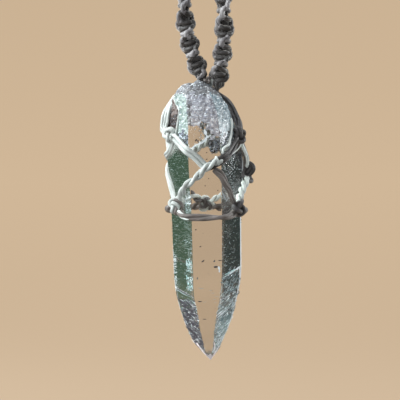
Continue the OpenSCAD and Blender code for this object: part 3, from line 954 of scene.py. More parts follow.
def add_sliver(shape, line, half, out, material):
    """A thin closed sliver on a face: its top to both sides of the line, and a keel in the face."""
    n = len(line)
    faces = [[0, 2 * n, n], [n - 1, 2 * n - 1, 3 * n - 1]]
    for k in range(n - 1):
        a, b, c = k, n + k, 2 * n + k
        faces += [[a, b, b + 1, a + 1], [b, c, c + 1, b + 1], [c, a, a + 1, c + 1]]
    shape.add(np.vstack([line + half, line - half, line - out * 0.04]), faces, material=material)


def add_marks(shape):
    """The marks that stand out, each drawn thin at both ends."""
    for finish, width, places in MARKS:
        found = [front_place(*place) for place in spline(places, 4)]
        out = np.array([place[3] for place in found])
        line = np.array([place[0] for place in found]) + out * 0.03
        over = unit(np.cross(out, tangents(line)))
        t = np.linspace(0, 1, len(line))
        half = width / 2 * (0.25 + 0.75 * np.sin(math.pi * t) ** 0.5)
        half *= 1 + 0.4 * np.sin(9 * t + places[0][1])
        add_sliver(shape, line, over * half[:, None], out, finish)


def add_etchings(shape, rng):
    """Fine marks on the faces."""
    for face, first, last, high, low, count, short, long, level, slope, width, most, rest, share in ETCHED:
        for _ in range(count):
            at, side, up, out = face_place(face, first + (last - first) * rng.random(),
                                           high + (low - high) * rng.random())
            length = short + (long - short) * rng.random() ** 2
            lean = slope + (rng.normal(0, 0.12) if rng.random() < level else rng.uniform(-1.2, 1.2))
            thick = width * (0.35 + 0.3 * rng.random())
            bend = rng.normal(0, 0.12) * length
            along = side * math.cos(lean) + up * math.sin(lean)
            over = np.cross(out, along)
            line = np.array([at + along * length * t + over * bend * (1 - 4 * t * t) + out * 0.012
                             for t in (-0.5, -0.2, 0.2, 0.5)])
            half = np.array([over * thick * s for s in (0.3, 1, 0.9, 0.25)])
            add_sliver(shape, line, half, out, most if rng.random() < share else rest)


def add_glints(shape, rng):
    """The glints on the left face."""
    for high, low in GLINTS:
        for _ in range(GLINTS_IN_PATCH):
            at, side, up, out = face_place("left", rng.uniform(0.66, 0.98), rng.uniform(high, low))
            size = 0.07 + 0.15 * rng.random() ** 2
            angle = np.sort(rng.uniform(0, 2 * math.pi, FLAKE_CORNERS))[::-1]
            rim = [at + (side * math.cos(a) + up * math.sin(a)) * size + out * 0.015 for a in angle]
            finish = GLINT_FINISHES[rng.integers(len(GLINT_FINISHES))]
            add_flake(shape, rim, at - out * 0.03, finish)


# Dark specks in the stone: across, drop, width, height and slant in degrees, all at one depth
# behind the front face
SPECK_DEPTH = 1.1
SPECKS = [
    (-0.82, 35.74, 0.8, 0.28, 35), (1.4, 35.74, 0.5, 0.34, 70), (1.68, 36.86, 0.95, 0.42, 5),
    (2.5, 35.6, 0.7, 0.2, 0), (-1.9, 39.1, 0.5, 0.3, 80), (-1.4, 43.6, 0.9, 0.24, 0),
    (-0.5, 47.12, 0.8, 0.18, 0), (-2.22, 29.6, 0.36, 0.24, 20), (-1.34, 32.9, 0.42, 0.22, 30),
    (-0.8, 30.3, 0.16, 0.1, 50), (1.0, 41.5, 0.16, 0.12, 0), (-0.1, 15.8, 0.34, 0.24, 20),
    (-1.45, 15.1, 0.3, 0.22, -20), (-0.1, 14.5, 0.26, 0.2, 0), (1.4, 17.9, 0.26, 0.16, 60),
    (0.3, 19.6, 0.24, 0.18, 0), (2.1, 21.9, 0.26, 0.2, 40), (-0.4, 21.0, 0.24, 0.2, 0),
    (1.6, 45.0, 0.14, 0.1, 0), (0.2, 38.2, 0.12, 0.1, 0),
]


def add_specks(shape):
    """Specks of dark mineral held inside the stone, near its front face."""
    for x, drop, width, height, slant in SPECKS:
        a = math.radians(slant)
        middle = on_front(x, drop, -SPECK_DEPTH)
        rings = []
        for v in (-60, 0, 60):
            t = np.radians(60 * np.arange(6))
            px = np.cos(t) * math.cos(math.radians(v)) * width / 2
            py = np.full(6, math.sin(math.radians(v)) * height / 2)
            pz = np.sin(t) * math.cos(math.radians(v)) * height / 2
            rings.append(np.stack([px * math.cos(a) - pz * math.sin(a), py,
                                   px * math.sin(a) + pz * math.cos(a)], axis=1) + middle)
        faces = ring_faces(3, 6, False).tolist() + [list(range(6))[::-1], list(range(12, 18))]
        shape.add(np.concatenate(rings), faces, material=SPECK)


# The braided strap

# One working cord from a crossing to the next: knots risen, distance from the middle in mm, and
# degrees round. It passes inside the other cord at the side, comes out under it and climbs over
KNOT_WAY = [
    (0.00, 0.94, 0), (0.02, 0.98, 34), (0.03, 1.05, 62), (0.07, 1.12, 84), (0.22, 1.38, 103),
    (0.60, 1.52, 95), (1.00, 1.55, 84), (1.27, 1.42, 97), (1.20, 1.10, 127), (1.06, 0.98, 155),
]
# Cord that comes over from the top knot into the right strap
CORD_FROM_KNOT = [[0.6, 0.2, 0.5], [1.4, 0.3, 0.8], [2.1, 0.3, 1.7]]
KNOTS_IN_HALF_TURN = 4
WORK_SIDES = 7
# Distance left of the braid's middle from which it has a painted highlight, as lit from the left,
# and the share of a half turn from which it is paler, in its lowest part and above it
LEFT_HIGHLIGHT_FROM = 1.06
NARROW_PALE_FROM = 0.6
NARROW_PALE_FROM_LOW = 0.7
LOWEST_PART = 11
# Radius of the cords in the braid's middle and how far they lie from it, and radius of the cord
# below the braid and of the one from the top knot
CORE_R = 0.5
CORE_REACH = 0.4
FOOT_R = 0.6
FROM_KNOT_R = 0.42
# Cord ends below the braid, and the radius of each at its lower and upper end
END_CORDS = 8
END_RADII = (0.3, 0.42)
STRAP_SEEDS = {-1: 5, 1: 6}


class Braid:
    """One half of the strap, and places round it by how many knots have risen."""

    def __init__(self, low, side, turns):
        self.path = spaced(strap_path(low, side), 0.25)
        self.run = running(self.path)
        self.out = np.array([0.0, 1.0, 0.0])
        self.across = np.cross(tangents(self.path), self.out)
        self.at = np.linspace(0, self.run[-1], 4000)
        past = np.maximum(self.at - turns[-1, 0], 0) / HALF_TURN
        self.risen = (np.interp(self.at, turns[:, 0], turns[:, 1]) + past) * KNOTS_IN_HALF_TURN

    def along(self, knots):
        return np.interp(knots, self.risen, self.at)

    def place(self, knots, reach, turned):
        """Places by knots risen, distance from the middle and degrees round."""
        at = self.along(knots)
        middle, across = [np.stack([np.interp(at, self.run, line[:, k]) for k in range(3)], axis=-1)
                          for line in (self.path, self.across)]
        drawn = END_SCALE + (1 - END_SCALE) * smooth(at / DRAW_IN)
        a = np.radians(90 + 180 / KNOTS_IN_HALF_TURN * knots + turned)
        round_it = self.out * np.cos(a)[:, None] + across * np.sin(a)[:, None]
        return middle + round_it * (reach * drawn)[:, None]


def working_cord(shape, braid, rng, cord, radius):
    """One of the two cords that knot round the middle ones. Where the braid is narrow it stands
    out and is paler, and on its left side it is painted paler as a highlight of the light from there."""
    first, count = math.ceil(braid.risen[0]), int(braid.risen[-1])
    rows = []
    for k in range(first, count):
        wobble = rng.normal(0, 0.02, 3)
        rows += [(k + u + wobble[0], r * (1 + wobble[1]), psi + 180 * (k + cord) - 90 + 60 * wobble[2])
                 for u, r, psi in KNOT_WAY]
    rows.append((count, KNOT_WAY[0][1], 180 * (count + cord) - 90))
    fine = spline(rows, 2)
    fine = fine[fine[:, 0] < braid.risen[-1] - 0.3]
    line = braid.place(*fine.T)
    at = braid.along(fine[:, 0])
    left = np.interp(at, braid.run, braid.path[:, 0]) - line[:, 0]
    paler = []
    for k, p in enumerate(line[:-1]):
        turned = fine[k, 0] / KNOTS_IN_HALF_TURN
        narrow = abs(turned - round(turned)) * 2 + 0.25 * noise.noise(Vector(p * 0.9))
        # Painted highlight: the cord is paler on the braid's left side, where the light falls
        left_highlight = left[k] + 0.5 * noise.noise(Vector(p * 0.7)) > LEFT_HIGHLIGHT_FROM
        narrow_pale = narrow > (NARROW_PALE_FROM_LOW if p[2] < STONE_Z + LOWEST_PART else NARROW_PALE_FROM)
        paler.append(int(left_highlight or narrow_pale))
    radius = radius * (0.85 + 0.15 * smooth(at / DRAW_IN))
    tube(shape, line, radius, WORK_SIDES, material=np.repeat(paler, WORK_SIDES).tolist() + [0, 0])


def strap_shape(low, side, turns, foot, radius):
    """One half of the strap: the braid, the cords in its middle, and the ends below it."""
    shape = Shape()
    braid = Braid(low, side, turns)
    rng = np.random.default_rng(STRAP_SEEDS[side])
    for cord in range(2):
        working_cord(shape, braid, rng, cord, radius)
    for cord in range(2):
        knots = np.arange(braid.risen[0], braid.risen[-1], 0.5)
        tube(shape, braid.place(knots, CORE_REACH, -45 * knots + 180 * cord + 20), CORE_R, 6)
    foot = np.array(foot) + [0, 0, STONE_Z]
    start = braid.path[0]
    tube(shape, spline([foot, foot * 0.5 + start * 0.5, start, braid.path[3]], 3), FOOT_R)
    if side > 0:
        tube(shape, spline(np.array(CORD_FROM_KNOT) + [0, 0, STONE_Z], 3), FROM_KNOT_R)
    knots = np.interp(np.linspace(0.0, 0.8, 6), braid.at, braid.risen)
    for k in range(END_CORDS):
        line = braid.place(knots, 1.05, 36 - 45 * knots * 0.8 + 45 * k)
        a = math.radians(45 * k + 15)
        end = foot + np.array([math.cos(a) * 0.5, math.sin(a) * 0.5, 0.3 * math.sin(3 * k)])
        waist = end * 0.45 + line[0] * 0.55 + np.array([math.cos(a), math.sin(a), 0]) * 0.1
        line = spaced(spline(np.vstack([end, waist, line]), 3), 0.3)
        tube(shape, line, np.linspace(*END_RADII, len(line)))
    return shape


# Net cords and knots

# How far from the middle of a knot its cords start, for its width. At the front crossing they
# start beyond its middle
KNOT_START = 0.3
CROSSING_START = -0.1
# Radius of a knot's cords for its width
KNOT_CORD = 0.115
# The two cords that part at the left collar knot and meet again where they turn to the back:
# direction, drop and height
PARTED = [
    [(-84, 11.2, 0.0), (-82, 12.2, 0.05), (-79, 13.2, 0.05), (-80, 14.2, 0.0), (-94, 15.0, -0.1),
     (-110, 16.0, -0.1), (-117, 17.2, 0.0)],
    [(-62, 11.5, 0.1), (-65, 12.3, 0.1), (-71, 13.2, 0.1), (-79, 14.2, 0.1), (-92, 15.0, 0.0),
     (-110, 16.0, 0.0), (-117, 17.2, 0.0)],
]


def parted_cord_shape():
    """The upper left leg, two pairs of cords that part and meet again."""
    shape = Shape()
    for seed, places in enumerate(PARTED):
        path, off = stone_route(places, 0.4)
        band(shape, path, off, seed + 8, 2, (1.2, 1.0), 0.33, 0.1)
    return shape


# Strands of the right upper leg that hook over the stone's right face, painted pale as brightly
# lit: radius, and places by share across the face, drop and height
HOOKS = [
    (0.25, [(0.8, 7.6, 0), (0.66, 9.4, 0.1), (0.5, 11.0, 0.2), (0.38, 11.9, 0.3), (0.3, 12.9, 0.3),
            (0.12, 13.4, 0.2), (0.04, 14.0, 0.1), (0.06, 14.8, 0)]),
    (0.13, [(0.84, 11.2, 0.9), (0.8, 12.4, 1.1), (0.6, 13.7, 1.1), (0.3, 14.8, 1.0), (0.05, 15.6, 0.8)]),
]
# Thin pale strand of the left crown over the left face
INNER_STRAND = [(0.02, 3.0, 0.05), (0.25, 4.1, 0.08), (0.59, 5.9, 0.06), (0.57, 7.0, 0.0),
                (0.56, 8.0, 0.05), (0.51, 9.8, 0.15), (0.5, 11.0, 0.3), (0.55, 12.0, 0.4)]
# Cords of the left crown: radius, and across the bundle and lift off its middle, in mm
LEFT_CROWN_R = 0.34
LEFT_CROWN_CORDS = [(-0.6, -0.2), (0, -0.25), (0.6, -0.2), (-0.45, 0.35), (0.15, 0.45), (0.6, 0.3),
                    (-0.15, 0.95), (0.35, 0.9)]


def strand(shape, face, places, radius, height, material=0):
    """A thin cord over one of the stone's faces, by share across it, drop and height."""
    line = []
    for share, drop, lift in places:
        at, _, _, out = face_place(face, share, drop)
        line.append(at + out * (lift + height))
    tube(shape, spline(line, 5), radius, material=material)


def left_crown_shape(path, off):
    """A bundle that swells where it passes the stone's shoulder, and the strand inside it."""
    shape = Shape()
    side = unit(np.cross(tangents(path), off))
    t = running(path) / running(path)[-1]
    swell = 0.3 + 0.7 * np.exp(-((t - 0.8) / 0.16) ** 2)
    for k, (across, lift) in enumerate(LEFT_CROWN_CORDS):
        beside = across * (0.45 + 0.55 * swell) + 0.07 * np.sin(t * 14 + k)
        tube(shape, path + side * beside[:, None] + off * (lift * swell)[:, None], LEFT_CROWN_R)
    strand(shape, "left", INNER_STRAND, 0.18, 0.15)
    return shape


def net_cord_shape(name):
    """A leg or a girdle cord from knot to knot, in its own make."""
    start, end, thickness, sag, make = CORDS[name]
    if make == "parted":
        return parted_cord_shape()
    a, b = KNOTS[start], KNOTS[end]
    turned = (b[0] - a[0] + 540) % 360 - 180
    span = np.linalg.norm(skin_point(*b[:2]) - skin_point(*a[:2]))
    first, final = [KNOTS[k][2] * (CROSSING_START if k == "middle_knot_front" else KNOT_START) / span
                    for k in (start, end)]
    places = ROUTES.get(name) or [
        [a[0] + turned * t, a[1] + (b[1] - a[1]) * t + sag * math.sin(math.pi * t), 0]
        for t in np.linspace(first, 1 - final, 7)]
    path, off = stone_route(places, thickness * 0.5)
    shape = Shape()
    side = unit(np.cross(tangents(path), off))
    seed = sum(ord(c) for c in name)
    if make in TWISTED:
        share, pitch, phase, spread = TWISTED[make]
        phase = seed % 360 if phase is None else phase
        # One ply of the rear left lower leg is painted light, in the brightly lit cord
        second = int(name == "lower_leg_left_rear")
        plied(shape, path, off, thickness * share, pitch, phase, spread, second)
    if make in FLAT:
        band(shape, path, off, seed, *FLAT[make])
    # The wound cord's strands at its left end are painted light, in the brightly lit cord
    if make == "wound":
        for k, sign in enumerate((-1, 0, 1)):
            share = int(len(path) * (0.2 + 0.05 * k))
            spread = np.linspace(0.15, 0.5, share)[:, None]
            line = path[:share] + side[:share] * sign * spread + off[:share] * 0.28
            tube(shape, line, np.linspace(0.36, 0.12, share), material=1)
    if make == "pair":
        r = thickness * 0.29
        for k, sign in enumerate((-1, 1)):
            wave = np.sin(np.linspace(0, math.pi * 1.3, len(path)) + k)[:, None] * 0.05
            tube(shape, path + side * (sign * r * 1.02 + wave) - off * 0.1, r, 8)
    if make == "hooked":
        for radius, places in HOOKS:
            strand(shape, "right", places, radius, radius, material=1)
    return shape


def knot_frame(turn, drop, width):
    """Middle, right, up and outward directions of a net knot."""
    out = outward(turn, drop)
    right = unit(np.cross(np.array([0, 0, 1.0]), out))
    up = np.cross(out, right)
    return lifted(turn, drop, width * KNOT_FLAT / 2 + 0.02), right, up, out


def trefoil(width, height, cord_r, lean, points=84):
    """An overhand knot drawn tight: across, up and outward of its middle."""
    t = np.linspace(0, 2 * math.pi, points, endpoint=False)
    x = np.sin(t) + 2 * np.sin(2 * t)
    y = np.cos(t) - 2 * np.cos(2 * t)
    z = -np.sin(3 * t)
    scale = (width / 2 - cord_r) / 3
    a = math.radians(lean)
    return np.stack([(x * math.cos(a) - y * math.sin(a)) * scale,
                     (x * math.sin(a) + y * math.cos(a)) * scale, z * (height / 2 - cord_r)], axis=1)


def knot_shape(name):
    """A tight overhand knot of two cords side by side."""
    if name == "middle_knot_front":
        return crossing_shape()
    turn, drop, width, lean, tall, deep, second = KNOTS[name]
    middle, right, up, out = knot_frame(turn, drop, width)
    shape = Shape()
    r = KNOT_CORD * width
    line = trefoil(width * 1.3, width * KNOT_FLAT * deep, r * 1.8, lean)
    world = middle + line[:, :1] * right / tall**0.5 + line[:, 1:2] * up * tall**0.5 + line[:, 2:] * out
    side = carried(world, closed=True)[1]
    for sign in (-1, 1):
        tube(shape, world + side * (sign * r * 0.95), r, 9, closed=True, material=int(second == sign))
    return shape


# The rope that crosses over the front: across, drop and height off the face
CROSSING = [(-1.5, 18.6, 0.75), (-0.5, 17.8, 1.3), (0.5, 17.05, 1.5), (1.4, 16.5, 1.35),
            (2.2, 16.1, 0.95), (2.7, 15.9, 0.5)]
WRAP_AT = (1.95, 16.15, 0.75)


def crossing_shape():
    """The front crossing: the right leg's cord goes over the left one's, round itself once, and
    on as the rope to the left girdle knot."""
    shape = Shape()
    path = spaced(spline([on_front(*p) for p in CROSSING], 6), 0.25)
    off = np.tile([0.0, -1.0, 0.0], (len(path), 1))
    plied(shape, path, off, 0.4, 4.8, 200, 0.98)
    along = unit(np.array([0.8, 0.0, 0.6]))
    over = np.array([-0.6, 0.0, 0.8])
    middle = on_front(*WRAP_AT)
    t = np.linspace(0, 2 * math.pi, 40, endpoint=False)
    ring = middle + over * (np.cos(t) * 0.66)[:, None] + off[0] * (np.sin(t) * 0.8)[:, None]
    tube(shape, ring + along * (0.25 * np.cos(t))[:, None], 0.3, closed=True)
    return shape


# Operators

# Pieces whose cord is painted darker as shade, or paler or brighter as lit: shaded and lit copies of the
# laid cord
FINISHED = {
    "Shaded cord": ("crown_right", "collar_knot_right", "collar_knot_rear", "upper_leg_right_front",
                  "middle_knot_right", "girdle_knot_right", "girdle_knot_rear", "lower_leg_left_rear"),
    "Lit cord": ("crown_left", "crown_rear", "collar_knot_left", "middle_knot_front", "girdle_knot_left",
                  "upper_leg_left_front", "upper_leg_left_back", "lower_leg_front_left",
                  "lower_leg_left_front"),
    "Brightly lit cord": ("lower_leg_right_front", "upper_leg_rear_left", "lower_leg_right_rear"),
}


def cord_materials(node):
    """The two finishes of a piece's cord, its main one and that of its odd cords: for the strap the
    paler, highlit braid, for the left girdle knot the laid cord, and else the brightly lit copy with
    painted light. Each is made once."""
    look = bpy.context.scene.necklace_cord
    light, dark, worn, pale = look.light, look.dark, look.worn, look.pale
    # Light and dark colour, plies, their slant, height of the relief in m, how dark the painted shade
    # in the grooves is, and for the braid its own sheen and roughness
    finishes = {
        "Braided cord": (light, dark, 2, 0.42, 0.00016, 0.9, 0.7, 0.4),
        "Pale and highlit cord": (times(light, 6.2), times(dark, 7.0), 2, 0.42, 0.0002, 1.0, 0.7, 0.4),
        "Laid cord": (worn, times(worn, 0.45), 3, 0.5, 0.00008, 0.4),
        # Painted shade and light: darker and lighter copies of the laid cord, for its shaded and lit sides
        "Shaded cord": (times(light, 1.7), times(dark, 1.8), 3, 0.5, 0.00008, 0.5),
        "Lit cord": (pale, times(pale, 0.66), 3, 0.5, 0.00008, 0.35),
        "Brightly lit cord": (times(pale, 1.35), times(pale, 1.1), 3, 0.5, 0.00008, 0.3),
    }
    if node.startswith("strap"):
        kinds = ("Braided cord", "Pale and highlit cord")
    else:
        main = next((kind for kind, nodes in FINISHED.items() if node in nodes), "Laid cord")
        kinds = (main, "Laid cord" if node == "girdle_knot_left" else "Brightly lit cord")
    for kind in kinds:
        if kind not in bpy.data.materials:
            cord_material(kind, *finishes[kind])
    return [bpy.data.materials[kind] for kind in kinds]


def build_cord(node, kind, shape):
    """Makes a piece of cord with its own finishes."""
    shape.build(f"{node}_{kind}", cord_materials(node), "waxed_cord", node)


class NecklaceStone(bpy.types.PropertyGroup):
    tint: bpy.props.FloatVectorProperty(
        name="Tint", description="Colour of the clear quartz", subtype="COLOR",
        default=(0.79, 0.78, 0.78), min=0, max=1)
    druse: bpy.props.FloatVectorProperty(
        name="Druse", description="Light colour of the crushed quartz on the front face",
        subtype="COLOR", default=(0.93, 0.95, 1.0), min=0, max=1)


class NecklaceCord(bpy.types.PropertyGroup):
    light: bpy.props.FloatVectorProperty(
        name="Light wax", description="Colour of the cord where its wax is thin", subtype="COLOR",
        default=(0.064, 0.062, 0.063), min=0, max=1)
    dark: bpy.props.FloatVectorProperty(
        name="Dark wax", description="Colour of the cord where its wax is thick", subtype="COLOR",
        default=(0.018, 0.017, 0.018), min=0, max=1)
    worn: bpy.props.FloatVectorProperty(
        name="Worn cord", description="Colour of the laid cord of the net's grey parts", subtype="COLOR",
        default=(0.225, 0.2, 0.185), min=0, max=1)
    # Painted light: the lit cords are a lighter copy of the laid cord, for the side the light falls on
    pale: bpy.props.FloatVectorProperty(
        name="Lit cord", description="Colour of the cord painted lighter where light falls", subtype="COLOR",
        default=(0.64, 0.69, 0.66), min=0, max=1)
    working: bpy.props.FloatProperty(
        name="Working cord", description="Radius of the cords that knot round the strap's middle ones",
        default=0.54 * MM, min=0.3 * MM, max=0.8 * MM, precision=5, unit="LENGTH")


class NecklaceStage(bpy.types.PropertyGroup):
    floor: bpy.props.FloatVectorProperty(
        name="Floor", description="Colour of the studio floor and backdrop", subtype="COLOR",
        default=(0.66, 0.49, 0.32), min=0, max=1)
    key: bpy.props.FloatProperty(
        name="Key", description="Power of the main light, in watts", default=25, min=0, unit="POWER")


class NECKLACE_OT_stone(bpy.types.Operator):
    """Cuts the quartz point with its rough top, ledges, inner veils and specks"""
    bl_idname = "necklace.stone"
    bl_label = "Quartz point"

    def execute(self, context):
        look = context.scene.necklace_stone
        finishes = [clear_quartz(look.tint)]
        finishes += [plain_material(*row) for row in PLAIN_FINISHES]
        finishes += [druse_material(name, light or look.druse, dark, scale)
                     for name, light, dark, scale in DRUSES]
        shape = stone_shape()
        add_veils(shape)
        add_specks(shape)
        add_marks(shape)
        rng = np.random.default_rng(ETCH_SEED)
        add_etchings(shape, rng)
        add_glints(shape, rng)
        shape.build("quartz_point", finishes, "quartz", "crystal", smooth_faces=False)
        return {"FINISHED"}


class NECKLACE_OT_straps(bpy.types.Operator):
    """Braids both halves of the neck strap in spiral half knots"""
    bl_idname = "necklace.straps"
    bl_label = "Braided strap"

    def execute(self, context):
        radius = context.scene.necklace_cord.working / MM
        for node, *row in (("strap_left", LEFT_LOW, -1, LEFT_TURNS, (-0.45, -0.1, -0.2)),
                           ("strap_right", RIGHT_LOW, 1, RIGHT_TURNS, (1.75, 0.1, -1.9))):
            build_cord(node, "braid", strap_shape(*row, radius))
        return {"FINISHED"}


class NECKLACE_OT_crowns(bpy.types.Operator):
    """Lays the bundles of cord from the top knot down over the rough top"""
    bl_idname = "necklace.crowns"
    bl_label = "Crown cords"

    def execute(self, context):
        for seed, (node, places) in enumerate(CROWNS.items()):
            path, off = stone_route(places, BUNDLE_D * 0.5)
            shape = left_crown_shape(path, off) if node == "crown_left" else Shape()
            if node in CROWN_BANDS:
                band(shape, path, off, seed + 3, *CROWN_BANDS[node])
            build_cord(node, "cords", shape)
        return {"FINISHED"}


class NECKLACE_OT_knots(bpy.types.Operator):
    """Ties the net knots and the small knot over the stone"""
    bl_idname = "necklace.knots"
    bl_label = "Net knots"

    def execute(self, context):
        for node in KNOTS:
            build_cord(node, "tied", knot_shape(node))
        shape = Shape()
        line = trefoil(TOP_KNOT_W * 1.1, TOP_KNOT_W * 0.9, TOP_KNOT_CORD, 15)
        middle = np.array(TOP_KNOT_AT) + [0, 0, STONE_Z]
        tube(shape, middle + line[:, [0, 2, 1]] * [1, -1, 1], TOP_KNOT_CORD, closed=True)
        build_cord("top_knot", "tied", shape)
        return {"FINISHED"}


class NECKLACE_OT_net(bpy.types.Operator):
    """Lays the net's legs and the girdle cords between the knots"""
    bl_idname = "necklace.net"
    bl_label = "Net cords"

    def execute(self, context):
        for node in CORDS:
            build_cord(node, "cord", net_cord_shape(node))
        return {"FINISHED"}


# The stage

STAGE_MIDDLE = Vector((0, 0, -0.32))
# The round studio, in m: height of its floor, where the floor starts to rise and the radius of
# that bend, and the height of its wall
FLOOR_Z = -0.47
FLOOR_REACH = 1.2
STUDIO_BEND = 2.0
WALL_Z = 3.0
STUDIO_SIDES = 48
BEND_STEPS = 16
# Lamps: name, place, size, power in watts and colour. None is the power set for the main light
LAMPS = [
    ("key", (-1.15, -0.12, 0.4), 0.5, None, (0.92, 0.98, 1.0)),
    ("rim_right", (1.1, 0.5, 0.0), 0.3, 11, (0.97, 0.99, 1.0)),
    ("top_soft", (-0.2, 0.6, 1.0), 0.7, 18, (1.0, 0.98, 0.98)),
    ("front_soft", (-0.5, -0.7, 0.1), 0.8, 6, (0.98, 0.99, 1.0)),
    ("rim_left", (-0.8, 0.8, 0.1), 0.4, 5, (0.96, 0.98, 1.0)),
]
# Cards round the stone that only the glass sees: bearing from and to, elevation from and to in
# degrees, and colour
PLUM_CARD, TEAL_CARD = (0.065, 0.08, 0.09), (0.14, 0.25, 0.27)
CARDS = {
    "card_green": (22, 72, -60, 12, (0.075, 0.14, 0.09)),
    "card_plum": (22, 72, 12, 38, PLUM_CARD),
    "card_plum_high": (0, 100, 38, 90, PLUM_CARD),
    "card_dark": (-72, -22, -60, 12, (0.028, 0.032, 0.038)),
    "card_teal": (-72, -22, 12, 38, TEAL_CARD),
    "card_teal_high": (-100, 0, 38, 90, TEAL_CARD),
}
CARD_REACH = 0.8
CARD_STEPS = 12
# Strength of the floor's glow in front of the stone and behind it
FLOOR_GLOW = (0.12, 0.8)
CAMERA_AT = (-0.0014, -0.3, -0.3197)
CAMERA_ANGLE = 15.19
AIR_COLOUR = (0.95, 0.97, 1.0, 1)
AIR_STRENGTH = 0.3


def stage_object(name, points, faces, material):
    """A thing of the stage, which is no piece of the necklace."""
    mesh = bpy.data.meshes.new(name)
    mesh.from_pydata(points, [], faces)
    mesh.materials.append(material)
    mesh.polygons.foreach_set("use_smooth", [True] * len(faces))
    thing = bpy.data.objects.new(name, mesh)
    bpy.context.scene.collection.objects.link(thing)
    return thing


def area_light(name, place, size, power, colour):
    """A soft lamp that faces the stone, and that the glass reflects but doesn't show through."""
    data = bpy.data.lights.new(name, "AREA")
    data.energy, data.size, data.color = power, size, colour
    lamp = bpy.data.objects.new(name, data)
    lamp.location = place
    lamp.rotation_euler = (STAGE_MIDDLE - Vector(place)).to_track_quat("-Z", "Y").to_euler()
    lamp.visible_camera = lamp.visible_transmission = False
    bpy.context.scene.collection.objects.link(lamp)


def glow_material(name, colour):
    """A material that only glows."""
    material, n, shader = new_material(name)
    n.tree.nodes.remove(shader)
    glow = n.add("ShaderNodeEmission", {"Color": (*colour, 1)}).outputs[0]
    n.fill(n.tree.nodes["Material Output"].inputs, {"Surface": glow})
    return material


def flag_card(name, start, end, low, high, colour):
    """A part of a sphere round the stone that only the glass sees."""
    points, faces = [], []
    for i in range(CARD_STEPS + 1):
        a = math.radians(start + (end - start) * i / CARD_STEPS)
        for j in range(CARD_STEPS + 1):
            e = math.radians(low + (high - low) * j / CARD_STEPS)
            points.append((math.sin(a) * math.cos(e) * CARD_REACH, math.cos(a) * math.cos(e) * CARD_REACH,
                           STAGE_MIDDLE.z + math.sin(e) * CARD_REACH))
            if i < CARD_STEPS and j < CARD_STEPS:
                k = i * (CARD_STEPS + 1) + j
                faces.append((k, k + CARD_STEPS + 1, k + CARD_STEPS + 2, k + 1))
    card = stage_object(name, points, faces, glow_material(name, colour))
    card.visible_camera = card.visible_shadow = card.visible_diffuse = False


def floor_material(colour):
    """A matt pale floor and backdrop that glows a little, the most behind the stone."""
    material, n, shader = new_material("Studio floor")
    place = n.add("ShaderNodeSeparateXYZ", {0: n.add("ShaderNodeTexCoord").outputs["Object"]})
    n.fill(shader.inputs, {"Base Color": (*times(colour, 0.2), 1), "Roughness": 0.9,
                           "Emission Color": (*colour, 1),
                           "Emission Strength": n.grade(place.outputs[1], -1.2, 2.0, *FLOOR_GLOW)})
    return material


def studio(colour):
    """The round floor, its bend and the wall, which throw no colour on the cord."""
    rows = [(FLOOR_REACH, FLOOR_Z)]
    for k in range(1, BEND_STEPS + 1):
        a = math.radians(90 * k / BEND_STEPS)
        rows.append((FLOOR_REACH + STUDIO_BEND * math.sin(a), FLOOR_Z + STUDIO_BEND * (1 - math.cos(a))))
    rows.append((FLOOR_REACH + STUDIO_BEND, WALL_Z))
    around = [2 * math.pi * j / STUDIO_SIDES for j in range(STUDIO_SIDES)]
    points = [(reach * math.cos(a), reach * math.sin(a), z) for reach, z in rows for a in around]
    faces = ring_faces(len(rows), STUDIO_SIDES, False).tolist()
    faces += [(len(points), (j + 1) % STUDIO_SIDES, j) for j in range(STUDIO_SIDES)]
    thing = stage_object("studio_floor", points + [(0, 0, FLOOR_Z)], faces, floor_material(colour))
    thing.visible_diffuse = False


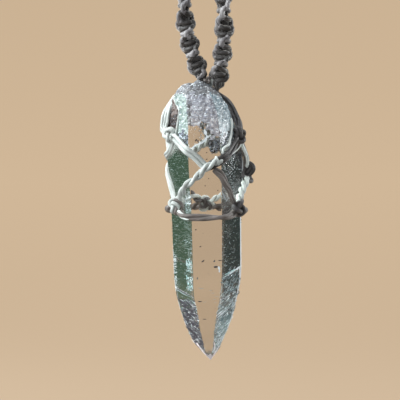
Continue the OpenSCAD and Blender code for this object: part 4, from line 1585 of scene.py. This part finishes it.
class NECKLACE_OT_stage(bpy.types.Operator):
    """Sets the round pale studio, its soft lights, the cards for the glass and the camera"""
    bl_idname = "necklace.stage"
    bl_label = "Studio"

    def execute(self, context):
        look, scene = context.scene.necklace_stage, context.scene
        studio(look.floor)
        for name, place, size, power, colour in LAMPS:
            area_light(name, place, size, power or look.key, colour)
        for name, row in CARDS.items():
            flag_card(name, *row)
        world = bpy.data.worlds.new("Studio air")
        world.use_nodes = True
        air = world.node_tree.nodes["Background"].inputs
        air[0].default_value, air[1].default_value = AIR_COLOUR, AIR_STRENGTH
        scene.world = world
        data = bpy.data.cameras.new("camera")
        data.sensor_fit = "AUTO"
        data.angle = math.radians(CAMERA_ANGLE)
        data.clip_start = 0.01
        camera = bpy.data.objects.new("camera", data)
        camera.location = CAMERA_AT
        camera.rotation_euler = (math.radians(90), 0, 0)
        scene.collection.objects.link(camera)
        scene.camera = camera
        scene.view_settings.view_transform = "Standard"
        return {"FINISHED"}


class NECKLACE_PT_pieces(bpy.types.Panel):
    """Lists the pieces of the necklace and their looks"""
    bl_label = "Macrame Necklace"
    bl_idname = "NECKLACE_PT_pieces"
    bl_space_type = "VIEW_3D"
    bl_region_type = "UI"
    bl_category = "Necklace"

    def draw(self, context):
        for look in ("necklace_stone", "necklace_cord", "necklace_stage"):
            group = getattr(context.scene, look)
            box = self.layout.box()
            for key in group.__annotations__:
                box.prop(group, key)
        for operator in OPERATORS:
            self.layout.operator(operator.bl_idname)


OPERATORS = (NECKLACE_OT_stage, NECKLACE_OT_stone, NECKLACE_OT_straps, NECKLACE_OT_crowns,
             NECKLACE_OT_knots, NECKLACE_OT_net)
GROUPS = {"necklace_stone": NecklaceStone, "necklace_cord": NecklaceCord, "necklace_stage": NecklaceStage}


def register():
    for cls in (*GROUPS.values(), *OPERATORS, NECKLACE_PT_pieces):
        bpy.utils.register_class(cls)
    for name, cls in GROUPS.items():
        setattr(bpy.types.Scene, name, bpy.props.PointerProperty(type=cls))


def unregister():
    for name in GROUPS:
        delattr(bpy.types.Scene, name)
    for cls in (NECKLACE_PT_pieces, *reversed(OPERATORS), *GROUPS.values()):
        bpy.utils.unregister_class(cls)


def main():
    register()
    for operator in OPERATORS:
        group, name = operator.bl_idname.split(".")
        getattr(getattr(bpy.ops, group), name)()
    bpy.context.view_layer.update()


if __name__ == "__main__":
    main()
